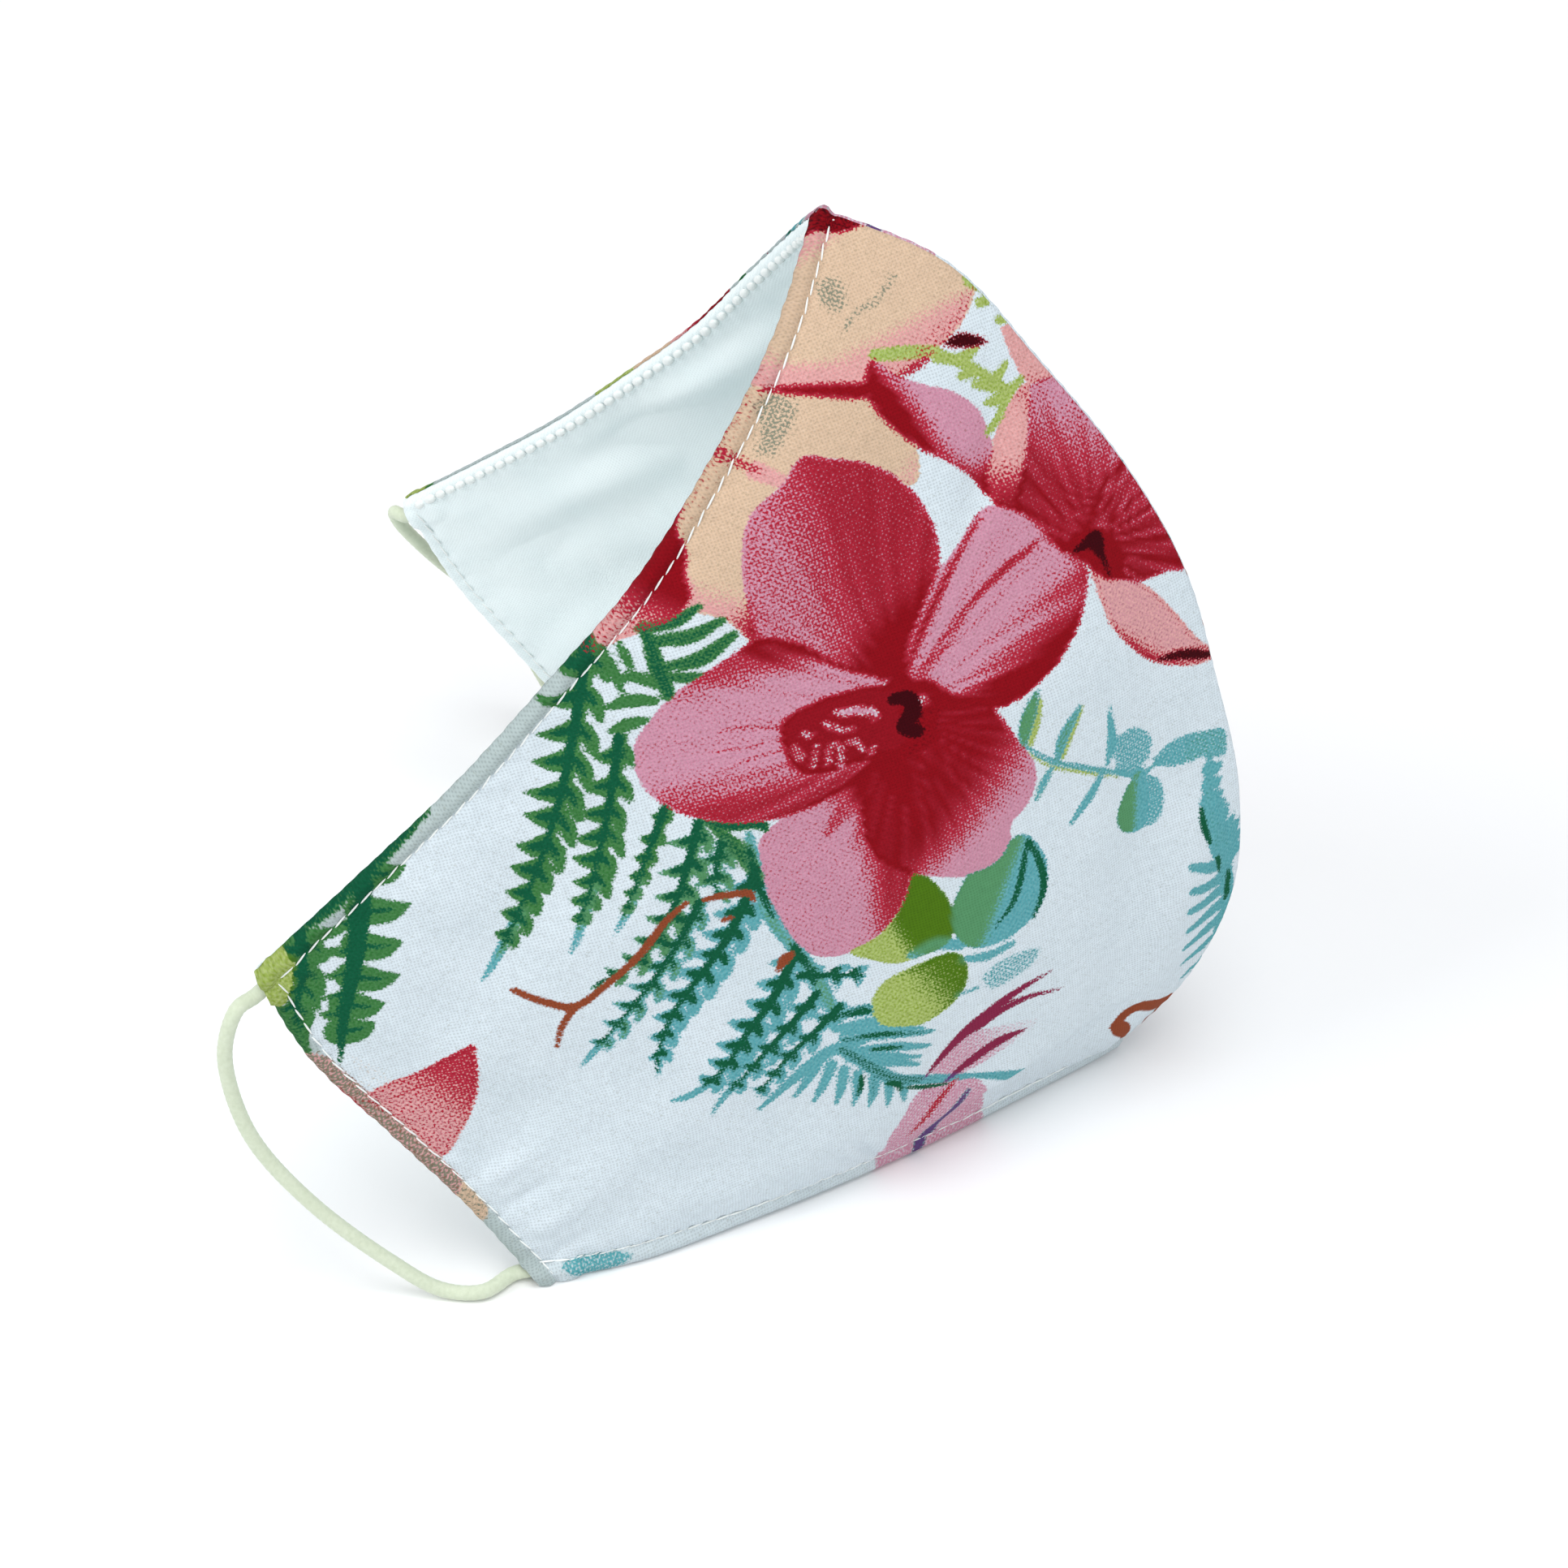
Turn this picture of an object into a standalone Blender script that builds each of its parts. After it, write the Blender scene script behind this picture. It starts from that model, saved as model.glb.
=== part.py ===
# Cloth face mask: two-panel contoured mask standing open on its chin hems,
# with a lining in each half and an elastic loop at each side.
# Metres. The front faces -Y, the wearer's left is +X, +Z is up, z = 0 is the
# surface it stands on. Tables and grids are worked out for the wearer's right half
# as (side, forward, up) from the chin end of the seam, and placed at the end.
import bmesh
import bpy
import numpy as np

# Sizes
HEIGHT = 0.148          # table to nose bridge
REACH = 0.120           # chin seam end back to the ear corners
HALF_WIDTH = 0.060      # centre seam to ear corner
OUTER_WALL = 0.0010     # printed cotton
LINING_WALL = 0.0010    # white lining
LAYER_GAP = 0.0003      # between the two layers
SEAM_GAP = 0.0003       # between the two halves at the centre seam
CORD_DIAMETER = 0.0022  # round elastic
CORD_CLEARANCE = 0.0004
POCKET_DEPTH = 0.0055   # elastic sewn in past the ear edge
POCKET_EXIT = 0.0030    # straight run of the elastic outside the ear edge
POCKET_FLAT = 0.0030    # full opening round the elastic
POCKET_REACH = 0.0105   # where the layers have closed again
CORNER_INSET = 0.0028   # elastic centre from the corner, along the ear edge
CORD_STEP = 0.0045      # between the rings of the elastic
CHEEK_BULGE = 0.0030    # fullness of a half past its four edges

COLUMNS = 22            # seam to ear edge
ROWS = 28               # chin hem to nose edge

# Centre seam, chin to nose. Columns: forward share of REACH, up share of HEIGHT
SEAM_SHARES = [
    (0.000, 0.000),
    (0.090, 0.110),
    (0.135, 0.230),
    (0.130, 0.365),
    (0.090, 0.500),
    (0.040, 0.630),
    (-0.035, 0.740),
    (-0.140, 0.850),
    (-0.250, 0.950),
    (-0.395, 1.000),
]

# The other three edges of a half. Columns: side share of HALF_WIDTH,
# back share of REACH, up share of HEIGHT
CHIN_HEM_SHARES = [
    (0.000, 0.000, 0.000),
    (0.200, 0.110, 0.000),
    (0.400, 0.225, 0.000),
    (0.575, 0.335, 0.000),
    (0.740, 0.450, 0.000),
    (0.885, 0.560, 0.000),
    (0.985, 0.680, 0.000),
]
NOSE_EDGE_SHARES = [
    (0.000, 0.395, 1.000),
    (0.255, 0.430, 0.920),
    (0.430, 0.495, 0.825),
    (0.550, 0.570, 0.730),
    (0.645, 0.660, 0.645),
    (0.750, 0.760, 0.555),
    (0.855, 0.870, 0.470),
    (0.970, 0.990, 0.380),
]
EAR_EDGE_SHARES = [
    (0.985, 0.680, 0.000),
    (0.970, 0.760, 0.090),
    (0.970, 0.850, 0.185),
    (0.980, 0.935, 0.280),
    (0.970, 0.990, 0.380),
]

# Elastic outside the cloth, top corner to bottom corner. The left one leans
# against the outside of its half. Columns as above
LOOP_RIGHT_SHARES = [
    (1.000, 1.015, 0.350),
    (1.020, 1.040, 0.310),
    (1.030, 1.040, 0.260),
    (1.040, 1.020, 0.190),
    (1.050, 0.960, 0.115),
    (1.050, 0.870, 0.045),
    (1.050, 0.800, 0.010),
    (1.020, 0.740, 0.010),
]
LOOP_LEFT_SHARES = [
    (0.990, 1.015, 0.350),
    (1.005, 1.010, 0.330),
    (1.015, 0.985, 0.300),
    (1.040, 0.955, 0.265),
    (1.105, 0.900, 0.200),
    (1.155, 0.855, 0.110),
    (1.140, 0.810, 0.035),
    (1.065, 0.775, 0.010),
    (1.005, 0.740, 0.010),
]


# Curves
def smooth_line(points, samples):
    """Smooth line through the points, by centripetal spans."""
    p = np.array(points, float)
    p = np.vstack([2 * p[0] - p[1], p, 2 * p[-1] - p[-2]])
    knots = np.concatenate([[0], np.cumsum(np.linalg.norm(np.diff(p, axis=0), axis=1) ** 0.5)])
    out = []
    for s in np.linspace(knots[1], knots[-2], samples):
        i = int(np.clip(np.searchsorted(knots, s, side="right") - 1, 1, len(p) - 3))
        k = knots[i - 1:i + 3]
        q = p[i - 1:i + 3]
        a = [((k[j + 1] - s) * q[j] + (s - k[j]) * q[j + 1]) / (k[j + 1] - k[j]) for j in range(3)]
        b = [((k[j + 2] - s) * a[j] + (s - k[j]) * a[j + 1]) / (k[j + 2] - k[j]) for j in range(2)]
        out.append(((k[2] - s) * b[0] + (s - k[1]) * b[1]) / (k[2] - k[1]))
    return np.array(out)


def by_length(line):
    """The line and the share of its length at each of its points."""
    run = np.concatenate([[0], np.cumsum(np.linalg.norm(np.diff(line, axis=0), axis=1))])
    return line, run / run[-1], run[-1]


def read(edge, share):
    line, run, _ = edge
    share = np.asarray(share, float)
    return np.stack([np.interp(share, run, line[:, k]) for k in range(3)], axis=-1)


def placed(points):
    """Table rows (side, back, up) in metres."""
    return [(s * HALF_WIDTH, -b * REACH, h * HEIGHT) for s, b, h in points]


seam_edge = by_length(smooth_line([(0, f * REACH, h * HEIGHT) for f, h in SEAM_SHARES], 600))
chin_edge = by_length(smooth_line(placed(CHIN_HEM_SHARES), 600))
nose_edge = by_length(smooth_line(placed(NOSE_EDGE_SHARES), 600))
ear_edge = by_length(smooth_line(placed(EAR_EDGE_SHARES), 600))


# The cloth surface: u from the seam to the ear edge, v from the chin hem to the nose edge
def cloth(u, v):
    u, v = np.broadcast_arrays(np.asarray(u, float), np.asarray(v, float))
    uu, vv = u[..., None], v[..., None]
    chin, nose = read(chin_edge, u), read(nose_edge, u)
    seam, ear = read(seam_edge, v), read(ear_edge, v)
    c, b = read(chin_edge, 0.0), read(chin_edge, 1.0)
    n, t = read(nose_edge, 0.0), read(nose_edge, 1.0)
    net = (1 - vv) * chin + vv * nose + (1 - uu) * seam + uu * ear
    net = net - (1 - uu) * (1 - vv) * c - uu * (1 - vv) * b - (1 - uu) * vv * n - uu * vv * t
    full = CHEEK_BULGE * (np.sin(np.pi * u) * np.sin(np.pi * v))[..., None]
    return net + full * np.array([0.80, 0.55, 0.24])


def outward(u, v):
    """Unit normal on the wearer's right half, away from the face."""
    e = 0.012
    u0, u1 = np.clip(u - e, 0, 1), np.clip(u + e, 0, 1)
    v0, v1 = np.clip(v - e, 0, 1), np.clip(v + e, 0, 1)
    du = cloth(u1, v) - cloth(u0, v)
    dv = cloth(u, v1) - cloth(u, v0)
    n = np.cross(du, dv)
    n = n / np.linalg.norm(n, axis=-1, keepdims=True)
    return np.where(n[..., :1] < 0, -n, n)


def graded(count, first, last):
    """Shares from 0 to 1 with smaller steps at the ends."""
    k = np.linspace(0, 1, count + 1)
    weight = 1 + first * np.exp(-k / 0.12) + last * np.exp(-(1 - k) / 0.16)
    run = np.concatenate([[0], np.cumsum(1 / (0.5 * (weight[1:] + weight[:-1])))])
    return run / run[-1]


# Where the elastic goes in, on the ear edge
TOP_SHARE = 1 - CORNER_INSET / ear_edge[2]
BOTTOM_SHARE = CORNER_INSET / ear_edge[2]


def pocket_end(v):
    """Share u at which the sewn-in elastic stops."""
    row = cloth(np.linspace(0.8, 1, 41), v)
    run = np.concatenate([[0], np.cumsum(np.linalg.norm(np.diff(row[::-1], axis=0), axis=1))])
    return float(np.interp(POCKET_DEPTH, run, np.linspace(1, 0.8, 41)))


def opening(u, v):
    """Distance between the layers: wide round the two ends of the elastic."""
    p = cloth(u, v)
    near = np.full(p.shape[:-1], 1.0)
    for share in (TOP_SHARE, BOTTOM_SHARE):
        a = cloth(pocket_end(share), share)
        b = cloth(1.0, share)
        ab = b - a
        t = np.clip(((p - a) @ ab) / (ab @ ab), 0, 1)[..., None]
        near = np.minimum(near, np.linalg.norm(p - (a + t * ab), axis=-1))
    k = np.clip((near - POCKET_FLAT) / (POCKET_REACH - POCKET_FLAT), 0, 1)
    wide = CORD_DIAMETER + 2 * CORD_CLEARANCE
    return LAYER_GAP + (wide - LAYER_GAP) * 0.5 * (1 + np.cos(np.pi * k))


def layer_grid(depth, spread):
    """Grid of points `depth` inside the cloth surface, moved by `spread` shares of the pocket."""
    u = graded(COLUMNS, 0.5, 3.0)
    v = graded(ROWS, 1.2, 1.0)
    uu, vv = np.meshgrid(u, v)
    p, n = cloth(uu, vv), outward(uu, vv)
    free = np.ones(p.shape)
    free[:, 0, 0] = 0
    free[0, :, 2] = 0
    kept = n * free
    step = -(depth + spread * (opening(uu, vv) - LAYER_GAP))
    p = p + step[..., None] * kept / (kept ** 2).sum(-1, keepdims=True)
    p[:, 0, 0] = SEAM_GAP / 2
    return p


def in_frame(points, side):
    """(side, forward, up) to the part's own axes. side is 1 for the wearer's right."""
    return (points - np.array([0, MIDDLE, 0])) * np.array([-side, -1, 1])


def shell(name, front, back, side):
    """Wall of cloth: a flat grid extruded once, with its two faces moved onto the grids."""
    form = bmesh.new()
    bmesh.ops.create_grid(form, x_segments=COLUMNS, y_segments=ROWS, size=0.5)
    wall = bmesh.ops.extrude_face_region(form, geom=form.faces[:], use_keep_orig=True)
    inner = {g for g in wall["geom"] if isinstance(g, bmesh.types.BMVert)}
    for vert in form.verts:
        column, row = round((vert.co.x + 0.5) * COLUMNS), round((vert.co.y + 0.5) * ROWS)
        layer = back if vert in inner else front
        vert.co = in_frame(layer[row, column], side)
    bmesh.ops.recalc_face_normals(form, faces=form.faces)
    if form.calc_volume(signed=True) < 0:
        bmesh.ops.reverse_faces(form, faces=form.faces)
    mesh = bpy.data.meshes.new(name)
    form.to_mesh(mesh)
    form.free()
    body = bpy.data.objects.new(name, mesh)
    mask.objects.link(body)
    return body


def elastic(name, table, side):
    """Round cord from the top ear corner to the bottom one."""
    ends = []
    for share in (TOP_SHARE, BOTTOM_SHARE):
        u = np.array([pocket_end(share), 0.5 * (1 + pocket_end(share)), 1.0])
        v = np.full(3, share)
        mid = cloth(u, v) - outward(u, v) * (OUTER_WALL + LAYER_GAP / 2)
        out = mid[2] - mid[1]
        ends.append(np.vstack([mid, mid[2] + POCKET_EXIT * out / np.linalg.norm(out)]))
    path = list(ends[0]) + [np.array(p) for p in placed(table)] + list(ends[1][::-1])
    dense = by_length(smooth_line(path, 900))
    count = int(round(dense[2] / CORD_STEP))
    ring = read(dense, np.linspace(0, 1, count + 1))
    ring = in_frame(ring, side)
    curve = bpy.data.curves.new(name, "CURVE")
    curve.dimensions = "3D"
    curve.bevel_depth = CORD_DIAMETER / 2
    curve.bevel_resolution = 2
    curve.use_fill_caps = True
    spline = curve.splines.new("POLY")
    spline.points.add(len(ring) - 1)
    for point, place in zip(spline.points, ring):
        point.co = (*place, 1.0)
    body = bpy.data.objects.new(name, curve)
    mask.objects.link(body)
    return body


def surface_of(body, name, colour, roughness):
    material = bpy.data.materials.new(name)
    material.use_nodes = True
    shader = material.node_tree.nodes["Principled BSDF"]
    shader.inputs["Base Color"].default_value = (*colour, 1.0)
    shader.inputs["Roughness"].default_value = roughness
    shader.inputs["Metallic"].default_value = 0.0
    body.data.materials.append(material)


# Build
for old in list(bpy.data.objects):
    bpy.data.objects.remove(old, do_unlink=True)
mask = bpy.data.collections.new("cloth_face_mask")
bpy.context.scene.collection.children.link(mask)

outer_front = layer_grid(0.0, -0.5)
outer_back = layer_grid(OUTER_WALL, -0.5)
lining_front = layer_grid(OUTER_WALL + LAYER_GAP, 0.5)
lining_back = layer_grid(OUTER_WALL + LAYER_GAP + LINING_WALL, 0.5)
every = np.concatenate([g.reshape(-1, 3) for g in (outer_front, outer_back, lining_front, lining_back)])
MIDDLE = 0.5 * (every[:, 1].min() + every[:, 1].max())

for word, side, table in (("right", 1, LOOP_RIGHT_SHARES), ("left", -1, LOOP_LEFT_SHARES)):
    outer = shell("outer_panel_" + word, outer_front, outer_back, side)
    surface_of(outer, "printed_cotton_" + word, (0.78, 0.62, 0.64), 0.85)
    lining = shell("lining_" + word, lining_front, lining_back, side)
    surface_of(lining, "white_lining_" + word, (0.86, 0.90, 0.90), 0.85)
    loop = elastic("ear_loop_" + word, table, side)
    surface_of(loop, "elastic_" + word, (0.78, 0.82, 0.70), 0.75)
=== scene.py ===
# Cloth face mask standing open on a pale table: two halves of printed cotton, a white
# lining in each half and an elastic loop at each side. Metres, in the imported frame.
import math
import bpy
import numpy as np
from mathutils import Matrix, Vector
from mathutils.bvhtree import BVHTree


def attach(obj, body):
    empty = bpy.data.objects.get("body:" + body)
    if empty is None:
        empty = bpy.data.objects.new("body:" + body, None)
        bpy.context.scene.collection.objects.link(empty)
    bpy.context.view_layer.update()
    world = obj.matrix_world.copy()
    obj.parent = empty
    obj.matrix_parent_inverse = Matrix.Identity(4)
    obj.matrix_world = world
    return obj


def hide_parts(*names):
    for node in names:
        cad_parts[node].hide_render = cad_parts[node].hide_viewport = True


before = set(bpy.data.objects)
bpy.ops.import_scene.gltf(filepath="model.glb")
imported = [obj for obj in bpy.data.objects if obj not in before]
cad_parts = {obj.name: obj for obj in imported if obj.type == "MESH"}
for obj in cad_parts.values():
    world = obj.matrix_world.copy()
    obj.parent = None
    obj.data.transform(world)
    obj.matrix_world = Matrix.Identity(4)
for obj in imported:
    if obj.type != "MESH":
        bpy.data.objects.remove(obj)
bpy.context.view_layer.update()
mm = 0.001
print("frame loaded:", sorted(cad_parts))

# Camera.
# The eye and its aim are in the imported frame; the picture is square.
cameraView = {"eye": (-0.42757, -0.04403, 0.40049), "aim": (-0.0210, -0.00193, 0.0660), "lens": 85.27}

cameraData = bpy.data.cameras.new("camera")
cameraData.lens = cameraView["lens"]
cameraData.sensor_width = 36.0
camera = bpy.data.objects.new("camera", cameraData)
bpy.context.scene.collection.objects.link(camera)
camera.location = cameraView["eye"]
look = Vector(cameraView["aim"]) - Vector(cameraView["eye"])
camera.rotation_euler = look.to_track_quat("-Z", "Y").to_euler()
bpy.context.scene.camera = camera
bpy.context.scene.view_settings.view_transform = "Standard"
print("camera set")

# The cloth surface.
# Shares of the mask's size, as they are in the part: side, back, up from the chin.
maskForm = {
    "height": 0.148, "reach": 0.120, "halfWidth": 0.060, "cheekBulge": 0.0030,
    "middle": -0.0516269, "thickness": 0.0023, "seamGap": 0.0003, "hemTurn": 181.5,
    "seam": [(0, 0.000, 0.000), (0, -0.090, 0.110), (0, -0.135, 0.230), (0, -0.130, 0.365),
             (0, -0.090, 0.500), (0, -0.040, 0.630), (0, 0.035, 0.740), (0, 0.140, 0.850),
             (0, 0.250, 0.950), (0, 0.395, 1.000)],
    "hem": [(0.000, 0.000, 0), (0.200, 0.110, 0), (0.400, 0.225, 0), (0.575, 0.335, 0),
            (0.740, 0.450, 0), (0.885, 0.560, 0), (0.985, 0.680, 0)],
    "nose": [(0.000, 0.395, 1.000), (0.255, 0.430, 0.920), (0.430, 0.495, 0.825),
             (0.550, 0.570, 0.730), (0.645, 0.660, 0.645), (0.750, 0.760, 0.555),
             (0.855, 0.870, 0.470), (0.970, 0.990, 0.380)],
    "ear": [(0.985, 0.680, 0.000), (0.970, 0.760, 0.090), (0.970, 0.850, 0.185),
            (0.980, 0.935, 0.280), (0.970, 0.990, 0.380)],
}

def smoothLine(points, samples):
    p = np.array(points, float)
    p = np.vstack([2 * p[0] - p[1], p, 2 * p[-1] - p[-2]])
    knots = np.concatenate([[0], np.cumsum(np.linalg.norm(np.diff(p, axis=0), axis=1) ** 0.5)])
    out = []
    for s in np.linspace(knots[1], knots[-2], samples):
        i = int(np.clip(np.searchsorted(knots, s, side="right") - 1, 1, len(p) - 3))
        k, q = knots[i - 1:i + 3], p[i - 1:i + 3]
        a = [((k[j + 1] - s) * q[j] + (s - k[j]) * q[j + 1]) / (k[j + 1] - k[j]) for j in range(3)]
        b = [((k[j + 2] - s) * a[j] + (s - k[j]) * a[j + 1]) / (k[j + 2] - k[j]) for j in range(2)]
        out.append(((k[2] - s) * b[0] + (s - k[1]) * b[1]) / (k[2] - k[1]))
    return np.array(out)


def byLength(line):
    run = np.concatenate([[0], np.cumsum(np.linalg.norm(np.diff(line, axis=0), axis=1))])
    return line, run / run[-1], run[-1]


def readEdge(edge, share):
    line, run, _ = edge
    share = np.asarray(share, float)
    return np.stack([np.interp(share, run, line[:, k]) for k in range(line.shape[1])], axis=-1)


def placed(rows):
    return [(s * maskForm["halfWidth"], -b * maskForm["reach"], h * maskForm["height"]) for s, b, h in rows]


edgeNames = ("seam", "hem", "nose", "ear")
formEdge = {name: byLength(smoothLine(placed(maskForm[name]), 600)) for name in edgeNames}


def netOf(edges, u, v):
    uu, vv = u[..., None], v[..., None]
    hem, nose, seam, ear = (readEdge(edges["hem"], u), readEdge(edges["nose"], u),
                            readEdge(edges["seam"], v), readEdge(edges["ear"], v))
    c, b = readEdge(edges["hem"], 0.0), readEdge(edges["hem"], 1.0)
    n, t = readEdge(edges["nose"], 0.0), readEdge(edges["nose"], 1.0)
    net = (1 - vv) * hem + vv * nose + (1 - uu) * seam + uu * ear
    return net - (1 - uu) * (1 - vv) * c - uu * (1 - vv) * b - (1 - uu) * vv * n - uu * vv * t


def clothAt(u, v):  # u from the seam to the ear edge, v from the chin hem to the nose edge
    u, v = np.broadcast_arrays(np.asarray(u, float), np.asarray(v, float))
    full = maskForm["cheekBulge"] * (np.sin(np.pi * u) * np.sin(np.pi * v))[..., None]
    return netOf(formEdge, u, v) + full * np.array([0.80, 0.55, 0.24])


def flatCut(count=13):  # the edges of one half laid flat, in millimetres from the chin end of the seam
    u, v = np.meshgrid(np.linspace(0, 1, count), np.linspace(0, 1, count))
    cloth = clothAt(u, v).reshape(-1, 3) / mm
    at = np.arange(count * count).reshape(count, count)
    ties = ((at[:, 1:], at[:, :-1]), (at[1:], at[:-1]),
            (at[1:, 1:], at[:-1, :-1]), (at[1:, :-1], at[:-1, 1:]))
    i, j = np.hstack([np.array([one.ravel(), other.ravel()]) for one, other in ties])
    length = np.linalg.norm(cloth[i] - cloth[j], axis=1)
    sideways = -(100 + 37 * v) * u - 51 * v * (1 - u)  # starts from a four-sided shape near the cut
    net = np.stack([sideways, 155 * v * (1 - u) + 54 * v * u], -1).reshape(-1, 2)
    row = np.arange(len(i))
    for _ in range(14):  # moves the net until its ties are as long as they are on the cloth
        apart = net[i] - net[j]
        far = np.linalg.norm(apart, axis=1)
        pull = np.zeros((len(i), 2 * len(net)))
        for axis in (0, 1):
            pull[row, 2 * i + axis] = apart[:, axis] / far
            pull[row, 2 * j + axis] = -apart[:, axis] / far
        net = net - np.linalg.lstsq(pull, far - length, rcond=1e-6)[0].reshape(-1, 2)
    net = (net - net[0]).reshape(count, count, 2)
    turn = math.radians(maskForm["hemTurn"]) - math.atan2(net[0, -1, 1], net[0, -1, 0])
    net = net @ np.array([[math.cos(turn), math.sin(turn)], [-math.sin(turn), math.cos(turn)]])
    share = np.linspace(0, 1, count)
    return {"hem": (net[0], share, 1.0), "nose": (net[-1], share, 1.0),
            "seam": (net[:, 0], share, 1.0), "ear": (net[:, -1], share, 1.0)}


cutEdge = flatCut()


def flatAt(u, v):  # the same place on the flat cut, in millimetres
    return netOf(cutEdge, u, v)


def outwardAt(u, v):
    e = 0.012
    u0, u1 = np.clip(u - e, 0, 1), np.clip(u + e, 0, 1)
    v0, v1 = np.clip(v - e, 0, 1), np.clip(v + e, 0, 1)
    n = np.cross(clothAt(u1, v) - clothAt(u0, v), clothAt(u, v1) - clothAt(u, v0))
    n = n / np.linalg.norm(n, axis=-1, keepdims=True)
    return np.where(n[..., :1] < 0, -n, n)


def inFrame(points, side):  # side is 1 for the wearer's right, the near half
    return (points - np.array([0, maskForm["middle"], 0])) * np.array([-side, -1, 1])


def hill(k):  # 1 at 0, falling smoothly to 0 at 1
    return 0.5 * (1 + np.cos(np.pi * np.clip(k, 0, 1)))


# Elastic loops.
elasticLoop = {
    "diameter": 0.0022, "pocketDepth": 0.0055, "pocketExit": 0.0024, "cornerInset": (0.0028, 0.0022),
    "tubeSides": 20, "tubeSteps": 360, "ribHeight": 0.018, "ribPitch": 0.0011, "exitStep": 24, "pathStep": 12,
    "right": [(1.000, 1.012, 0.350), (1.020, 1.030, 0.308), (1.030, 1.029, 0.258), (1.040, 1.006, 0.190),
              (1.048, 0.944, 0.115), (1.052, 0.856, 0.045), (1.053, 0.794, 0.010), (1.046, 0.744, 0.009)],
    "left": [(0.990, 1.015, 0.350), (1.005, 1.010, 0.330), (1.015, 0.985, 0.300), (1.040, 0.955, 0.265),
             (1.105, 0.900, 0.200), (1.155, 0.855, 0.110), (1.140, 0.810, 0.035), (1.065, 0.775, 0.010),
             (1.005, 0.740, 0.010)],
}
upperInset, lowerInset = (inset / formEdge["ear"][2] for inset in elasticLoop["cornerInset"])
cornerShares = (1 - upperInset, lowerInset)


def pocketEnd(v):
    row = clothAt(np.linspace(0.8, 1, 41), v)
    run = np.concatenate([[0], np.cumsum(np.linalg.norm(np.diff(row[::-1], axis=0), axis=1))])
    return float(np.interp(elasticLoop["pocketDepth"], run, np.linspace(1, 0.8, 41)))


def overElastic(u, v):  # 1 over the sewn-in ends of the elastic, 0 where the layers lie closed
    p = clothAt(u, v)
    near = np.full(p.shape[:-1], 1.0)
    for share in cornerShares:
        a, b = clothAt(pocketEnd(share), share), clothAt(1.0, share)
        ab = b - a
        t = np.clip(((p - a) @ ab) / (ab @ ab), 0, 1)[..., None]
        near = np.minimum(near, np.linalg.norm(p - (a + t * ab), axis=-1))
    return hill((near - 0.0014) / 0.0014)


def loopRoute(table):
    ends = []
    for share in cornerShares:
        u = np.array([pocketEnd(share), 0.5 * (1 + pocketEnd(share)), 1.0])
        v = np.full(3, share)
        mid = clothAt(u, v) - outwardAt(u, v) * maskForm["thickness"] / 2
        out = mid[2] - mid[1]
        ends.append(np.vstack([mid, mid[2] + elasticLoop["pocketExit"] * out / np.linalg.norm(out)]))
    path = list(ends[0]) + [np.array(p) for p in placed(table)] + list(ends[1][::-1])
    return byLength(smoothLine(path, 900))


def selectOnly(piece):
    if bpy.context.object and bpy.context.object.mode != "OBJECT":
        bpy.ops.object.mode_set(mode="OBJECT")
    bpy.ops.object.select_all(action="DESELECT")
    piece.select_set(True)
    bpy.context.view_layer.objects.active = piece


def gridPiece(name, points):  # a flat grid, its vertices moved to points[row, column]
    rows, columns = points.shape[0] - 1, points.shape[1] - 1
    bpy.ops.object.select_all(action="DESELECT")
    bpy.ops.mesh.primitive_grid_add(x_subdivisions=columns, y_subdivisions=rows, size=1.0, location=(0, 0, 0))
    piece = bpy.context.object
    piece.name = piece.data.name = name
    flat = np.empty(len(piece.data.vertices) * 3, np.float32)
    piece.data.vertices.foreach_get("co", flat)
    flat = flat.reshape(-1, 3)
    column = np.rint((flat[:, 0] - flat[:, 0].min()) / np.ptp(flat[:, 0]) * columns).astype(int)
    row = np.rint((flat[:, 1] - flat[:, 1].min()) / np.ptp(flat[:, 1]) * rows).astype(int)
    piece.data.vertices.foreach_set("co", np.ascontiguousarray(points[row, column], np.float32).ravel())
    piece.data.update()
    return piece, row, column


def tubePiece(name, centres, radius, sides):
    t = np.gradient(centres, axis=0)
    t /= np.linalg.norm(t, axis=1, keepdims=True)
    across = np.cross(t[0], [0.31, 0.22, 0.92])
    rings = []
    for k in range(len(centres)):  # carried along the line, so the tube never twists
        across = across - t[k] * (across @ t[k])
        across /= np.linalg.norm(across)
        other = np.cross(t[k], across)
        a = np.linspace(0, 2 * np.pi, sides + 1)[:, None]
        rings.append(centres[k] + radius[k] * (np.cos(a) * across + np.sin(a) * other))
    piece, row, column = gridPiece(name, np.array(rings))
    selectOnly(piece)
    bpy.ops.object.mode_set(mode="EDIT")
    bpy.ops.mesh.select_all(action="SELECT")
    bpy.ops.mesh.remove_doubles(threshold=0.000002)
    bpy.ops.mesh.fill_holes(sides=0)
    bpy.ops.mesh.select_all(action="SELECT")
    bpy.ops.mesh.normals_make_consistent(inside=False)
    bpy.ops.object.mode_set(mode="OBJECT")
    bpy.ops.object.shade_smooth()
    return piece


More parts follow.
